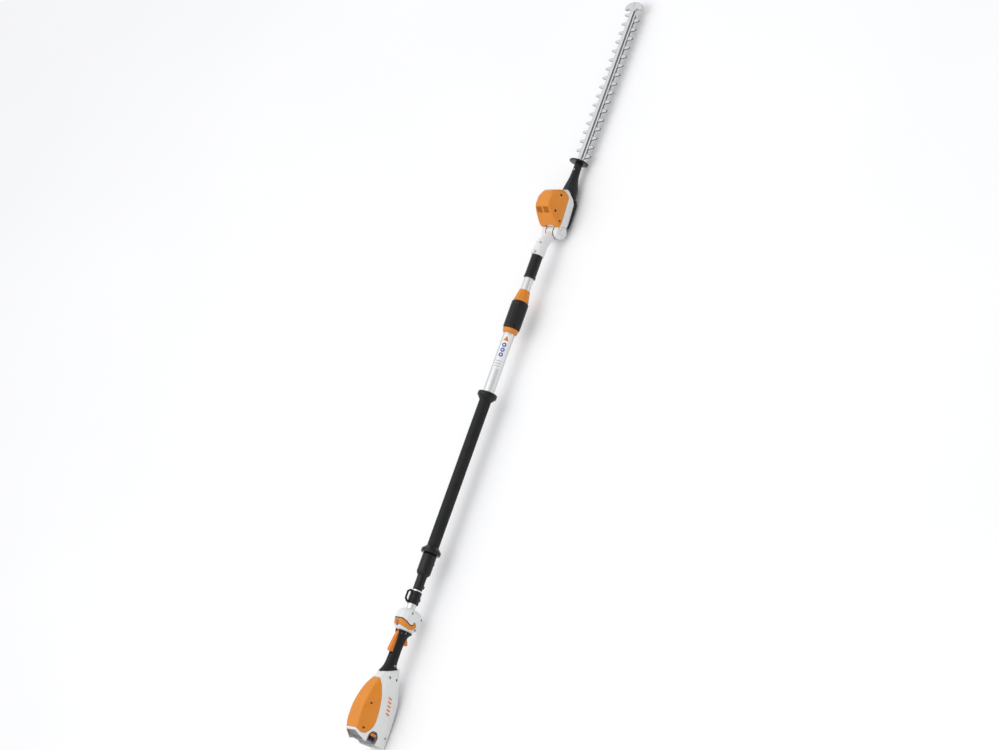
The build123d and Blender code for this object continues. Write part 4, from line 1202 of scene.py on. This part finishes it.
def make_motor_housing():
    shell = carve(head_cup(), prism("line", grown(HOOD_LINE, 0.7), -80, 80, WHITE, 4, "xz", 0, 6))
    for side in (-1, 1):
        low, high = sorted((side * (EAR_IN + 0.2), side * EAR_OUT))
        ear = turned_y("ear", [(low, 0), (low, DRUM_R, 1.5), (high, DRUM_R, 1.5), (high, 0)], WHITE,
                       PIVOT_X, PIVOT_Z)
        carve(shell, ear, "UNION")
        web = prism("web", [(PIVOT_X, -54), (1790, -46), (1790, -12.8), (PIVOT_X + 6, -11.5)],
                    low, high, WHITE, 1, "xz", 0, 2)
        carve(shell, web, "UNION")
        low, high = sorted((side * EAR_OUT, side * 70))
        seat = turned_y("seat", [(low, 0), (low, 19.4, 0.1), (high, 19.4, 0.1), (high, 0)], WHITE,
                        PIVOT_X, PIVOT_Z)
        carve(shell, seat)
    saddle = ring_y("saddle", [(-17.7, 24.5, 0.5), (-17.7, 33.4, 1), (17.7, 33.4, 1), (17.7, 24.5, 0.5)],
                    WHITE)
    corner = [(1779.5, -32), (1812, -32), (1812, 12), (1785, 12), (1785, -4), (1779.5, -20)]
    carve(saddle, prism("corner", corner, -20, 20, WHITE, 1, "xz", 0, 2), "INTERSECT")
    carve(shell, saddle, "UNION")
    carve(shell, notch_cutter(DRUM_R + 1.2))
    bore = turned_y("bore", [(-70, 0), (-70, 9.5, 0.1), (-23, 9.5, 0.1), (-23, 5.05, 0.1),
                             (70, 5.05, 0.1), (70, 0)], WHITE, PIVOT_X, PIVOT_Z)
    carve(shell, bore)
    sweep = []
    for k in range(64):
        a = 2 * math.pi * (k + 0.5) / 64
        middle = CRANK_X + math.copysign(STROKE, math.cos(a))
        sweep.append((middle + TAIL_REACH * math.cos(a), TAIL_REACH * math.sin(a)))
    carve(shell, prism("sweep", sweep, -41.8, -34, WHITE, 0.5, "xy", 0, 1))
    front = [(1880, -26), (1935, -26), (1935, 26), (1880, 26)]
    carve(shell, prism("front", front, -45.5, -30, WHITE, 1, "xy", 0, 2))
    under = [(1795, -26), (1886, -26), (1886, 26), (1795, 26)]
    carve(shell, prism("under", under, -50, -41, WHITE, 2, "xy", 0, 2))
    shell.name = "look_motor_housing"
    soften(shell, 0.7, 2, 42)
    place(shell, "cutter_head", "white_housing", "motor_housing")
    low, high = -38.0, -EAR_OUT
    cap = [(high, 9.45, 0.2), (high, 18.9, 0.2), (low, 18.6, 0.9), (low, 14.5, 0.3), (low + 0.7, 14, 0.3),
           (low + 0.7, 10.6, 0.3), (low, 10.2, 0.3), (low, 9.45, 0.2)]
    near = ring_y("cap_near", cap, WHITE)
    far = turned_y("cap_far", [(EAR_OUT, 0), (EAR_OUT, 18.9, 0.2), (38, 18.6, 0.9), (38, 14.5, 0.3),
                               (37.3, 14, 0.3), (37.3, 0)], WHITE, PIVOT_X, PIVOT_Z)
    caps = join("look_pivot_caps", [near, far])
    place(caps, "cutter_head", "white_housing", "pivot_caps")


def ring_y(name, profile, material):
    """Ring turned about the pivot's axis from points (y, r)."""
    outline = rounded(profile, 0.3, 3)
    verts, count = [], 96
    for k in range(count):
        a = 2 * math.pi * k / count
        verts += [at(PIVOT_X + p.y * math.cos(a), p.x, PIVOT_Z + p.y * math.sin(a)) for p in outline]
    return new_object(name, verts, turned_faces(count, len(outline)), material)


# stations: x, half width, top, widest height, bottom
NOSE = [
    (1884, 28.5, -15.5, -30, -58), (1900, 28.3, -15, -32, -58.5), (1915, 27.3, -15, -34, -58.6),
    (1928, 25, -16, -36, -57.6), (1942, 21, -17.6, -36, -54.5), (1956, 16.8, -19.2, -35, -50.5),
    (1972, 13.9, -20.4, -34, -47.4), (1990, 12.9, -21, -33.6, -46), (2018, 12.4, -21.3, -33.5, -45.6),
]
NOSE_EDGE = [(1930, 0), (1917, -6), (1914.6, -14), (1890.6, -46.4), (1890.6, -75), (2100, -75), (2100, 0)]


def nose_ring(x):
    wide, top, middle, base = glide(NOSE, x)
    half = [(0.42 * wide, top, 5), (0.93 * wide, 0.45 * top + 0.55 * middle, 8),
            (wide, middle - 0.3 * (middle - base), 9), (0.6 * wide, base, 6)]
    outline = rounded(mirrored(half), steps=6)
    return [at(x, p.x, p.y) for p in outline]


def make_nose():
    rows = [1884 + (2018 - 1884) * i / 34 for i in range(35)]
    nose = loft("look_nose", [nose_ring(x) for x in rows], BLACK)
    carve(nose, prism("edge", NOSE_EDGE, -80, 80, BLACK, 0.5, "xz", 0, 2), "INTERSECT")
    cavity = [(1870, 27), (1892, 25.5), (1906, 22), (1925, 9), (2060, 9), (2060, -9), (1925, -9),
              (1906, -22), (1892, -25.5), (1870, -27)]
    carve(nose, prism("cavity", cavity, -42, -31.2, BLACK, 1, "xy", 0, 2))
    seat = [(1992 + 4 * math.cos(a), 4 * math.sin(a)) for a in (2 * math.pi * k / 24 for k in range(24))]
    carve(nose, prism("seat", seat, -22.2, -10, BLACK, 0.1, "xy", 0, 1))
    soften(nose, 0.7, 2, 42)
    place(nose, "cutter_head", "black_plastic", "nose_housing")
    disc = [(2018, 0), (2018, 31, 0.8), (2019, 31.8, 0.5), (2022, 31.8, 0.5), (2023, 31, 0.8),
            (2024.4, 18, 6), (2027, 10, 1), (2027, 0)]
    outline = rounded(disc, 0.5, 4, closed=False)
    verts = []
    for k in range(128):
        a = 2 * math.pi * k / 128
        verts += [at(p.x, p.y * math.cos(a), -32 + p.y * math.sin(a)) for p in outline]
    guard = new_object("look_disc", verts, turned_faces(128, len(outline), False), BLACK)
    gap = [(1990, -8.9), (2022, -8.9), (2028, -15), (2040, -15), (2040, 15), (2028, 15), (2022, 8.9),
           (1990, 8.9)]
    carve(guard, prism("gap", gap, -42, -31.2, BLACK, 1, "xy", 0, 1))
    place(guard, "cutter_head", "black_plastic", "blade_disc")


# ---- cutter ---------------------------------------------------------------------------
BAR_LOW, BAR_HIGH, RIB_TOP = -35.3, -31.3, -28.0


def make_guide_bar():
    """Bar with a raised rib along its middle, its flanks given darker steel as painted shade."""
    section = [(-15, BAR_LOW), (-15, BAR_LOW + 1.5, 0.4), (-8.6, BAR_LOW + 1.8, 0.5),
               (-6.4, RIB_TOP, 1.2), (6.4, RIB_TOP, 1.2), (8.6, BAR_LOW + 1.8, 0.5),
               (15, BAR_LOW + 1.5, 0.4), (15, BAR_LOW)]
    flat = rounded(section, 0.3, 4)
    rings = []
    for x, scale in ((2027.4, 0.5), (2034, 0.9), (2040, 1.0), (2300, 1.0), (2560, 1.0), (2578, 1.0),
                     (2584, 0.5)):
        rings.append([at(x, p.x * scale, p.y) for p in flat])
    bar = loft("look_guide_bar", rings, BLADE)
    tail = prism("tail", [(1965, -7.4), (2028, -7.4), (2028, 7.4), (1965, 7.4)], BAR_LOW, BAR_HIGH,
                 BLADE, 0.5, "xy", 0, 2)
    carve(bar, tail, "UNION")
    # Sideways-facing flank faces take the darker steel: painted shade.
    bar.data.materials.append(PAINTED_SHADE_STEEL)
    for face in bar.data.polygons:
        if abs(face.normal.y) > 0.6 and abs(face.normal.x) < 0.2 and face.center.z > AXIS + BAR_LOW * MM:
            face.material_index = 1
    place(bar, "cutter_head", "bar_aluminium", "guide_bar")


GUARD = [
    (2573, 8, 1), (2579, 12, 4), (2581, 24, 8), (2575, 33, 2), (2577, 38, 1.5), (2588, 37.5, 4),
    (2598, 30, 8), (2603.5, 16, 8), (2605, 5, 3),
]


def make_tip_guard():
    plan = GUARD + [(x, -y, r) for x, y, r in reversed(GUARD)]
    guard = prism("look_tip_guard", plan, -41.8, -27.2, CAST, 1, "xy", 0, 5)
    carve(guard, prism("slot", [(2560, -60), (2580.5, -60), (2580.5, 60), (2560, 60)], -60, BAR_LOW,
                       CAST, 0.5, "xy", 0, 1))
    groove = prism("groove", [(2580, -1), (2610, -1), (2610, 1), (2580, 1)], -28.4, -20, CAST, 0.4,
                   "xy", 0, 2)
    carve(guard, groove)
    soften(guard, 2.0, 4, 42)
    place(guard, "cutter_head", "guard_metal", "tip_guard")


# ---- marks ----------------------------------------------------------------------------
LABEL_TURN = math.radians(-38)      # facing the picture, from straight up towards the right


def wrap_point(x, along, lift):
    """Point on the outer tube: distance along the curve from the label's middle."""
    a = LABEL_TURN + along / OUTER_R
    r = OUTER_R + lift
    return at(x, r * math.sin(a), r * math.cos(a))


def wrap_patch(name, x0, x1, s0, s1, lift, material):
    rows, columns = 24, 24
    verts = []
    for level in (lift, lift - 0.12):
        for i in range(rows + 1):
            for j in range(columns + 1):
                verts.append(wrap_point(x0 + (x1 - x0) * i / rows, s0 + (s1 - s0) * j / columns, level))
    wide, count = columns + 1, (rows + 1) * (columns + 1)
    faces = grid_faces(rows + 1, wide) + grid_faces(rows + 1, wide, start=count)
    rim = [j for j in range(wide)] + [i * wide + columns for i in range(1, rows + 1)]
    rim += [rows * wide + j for j in range(columns - 1, -1, -1)]
    rim += [i * wide for i in range(rows - 1, 0, -1)]
    faces += [(a, b, b + count, a + count) for a, b in zip(rim, rim[1:] + rim[:1])]
    return new_object(name, verts, faces, material, 30)


def wrap_spot(name, x, s, radius, lift, material, pointed=False):
    corners = 48
    rings = 5
    verts = [wrap_point(x, s, lift), wrap_point(x, s, lift - 0.1)]
    for level in (lift, lift - 0.1):
        for i in range(1, rings + 1):
            for k in range(corners):
                a = 2 * math.pi * k / corners
                reach = 0.5 / math.cos(a % (2 * math.pi / 3) - math.pi / 3) if pointed else 1.0
                r = radius * reach * i / rings
                verts.append(wrap_point(x + r * math.cos(a), s + r * math.sin(a), level))
    faces = []
    for side in (0, 1):
        base = 2 + side * rings * corners
        faces += [(side, base + k, base + (k + 1) % corners) for k in range(corners)]
        faces += grid_faces(rings, corners, wrap=True, start=base)
    outer, under = 2 + (rings - 1) * corners, 2 + (2 * rings - 1) * corners
    faces += [(outer + k, outer + (k + 1) % corners, under + (k + 1) % corners, under + k)
              for k in range(corners)]
    return new_object(name, verts, faces, material, 30)


def make_label():
    marks = [wrap_patch("base", 1269, 1388, -12, 12, 0.14, LABEL_WHITE)]
    for k in range(3):
        x = 1317 + 17 * k
        marks.append(wrap_spot("disc", x, 0, 7.2, 0.24, LABEL_BLUE))
        marks.append(wrap_spot("spot", x, 0, 3.0, 0.34, LABEL_WHITE))
    marks.append(wrap_spot("triangle", 1371, 0, 11, 0.24, ORANGE_SMOOTH, True))
    for k in range(3):
        marks.append(wrap_patch("bar", 1276 + 9 * k, 1279 + 9 * k, -9, 9, 0.22, LABEL_GREY))
    label = join("look_label", marks)
    place(label, "shaft", "white_housing")


LABEL_WHITE = moulded("label_white", (0.80, 0.80, 0.79), 0.3, 0.02, 0.0, 0.03)
LABEL_BLUE = moulded("label_blue", (0.03, 0.07, 0.36), 0.3, 0.02, 0.0, 0.05)
LABEL_GREY = moulded("label_grey", (0.45, 0.45, 0.46), 0.3, 0.02, 0.0, 0.05)

# ---- assembly -------------------------------------------------------------------------
make_camera()
make_stage()
finish_cad_nodes()
make_rear_housing()
make_side_marks()
make_battery()
make_bay_frame()
make_handle()
make_levers()
make_control_housing()
make_tubes()
make_sleeves()
make_tube_sleeve()
make_harness_clamp()
make_clamp()
make_front_sleeve()
make_arm()
make_motor_hood()
make_motor_housing()
make_nose()
make_guide_bar()
make_tip_guard()
make_label()
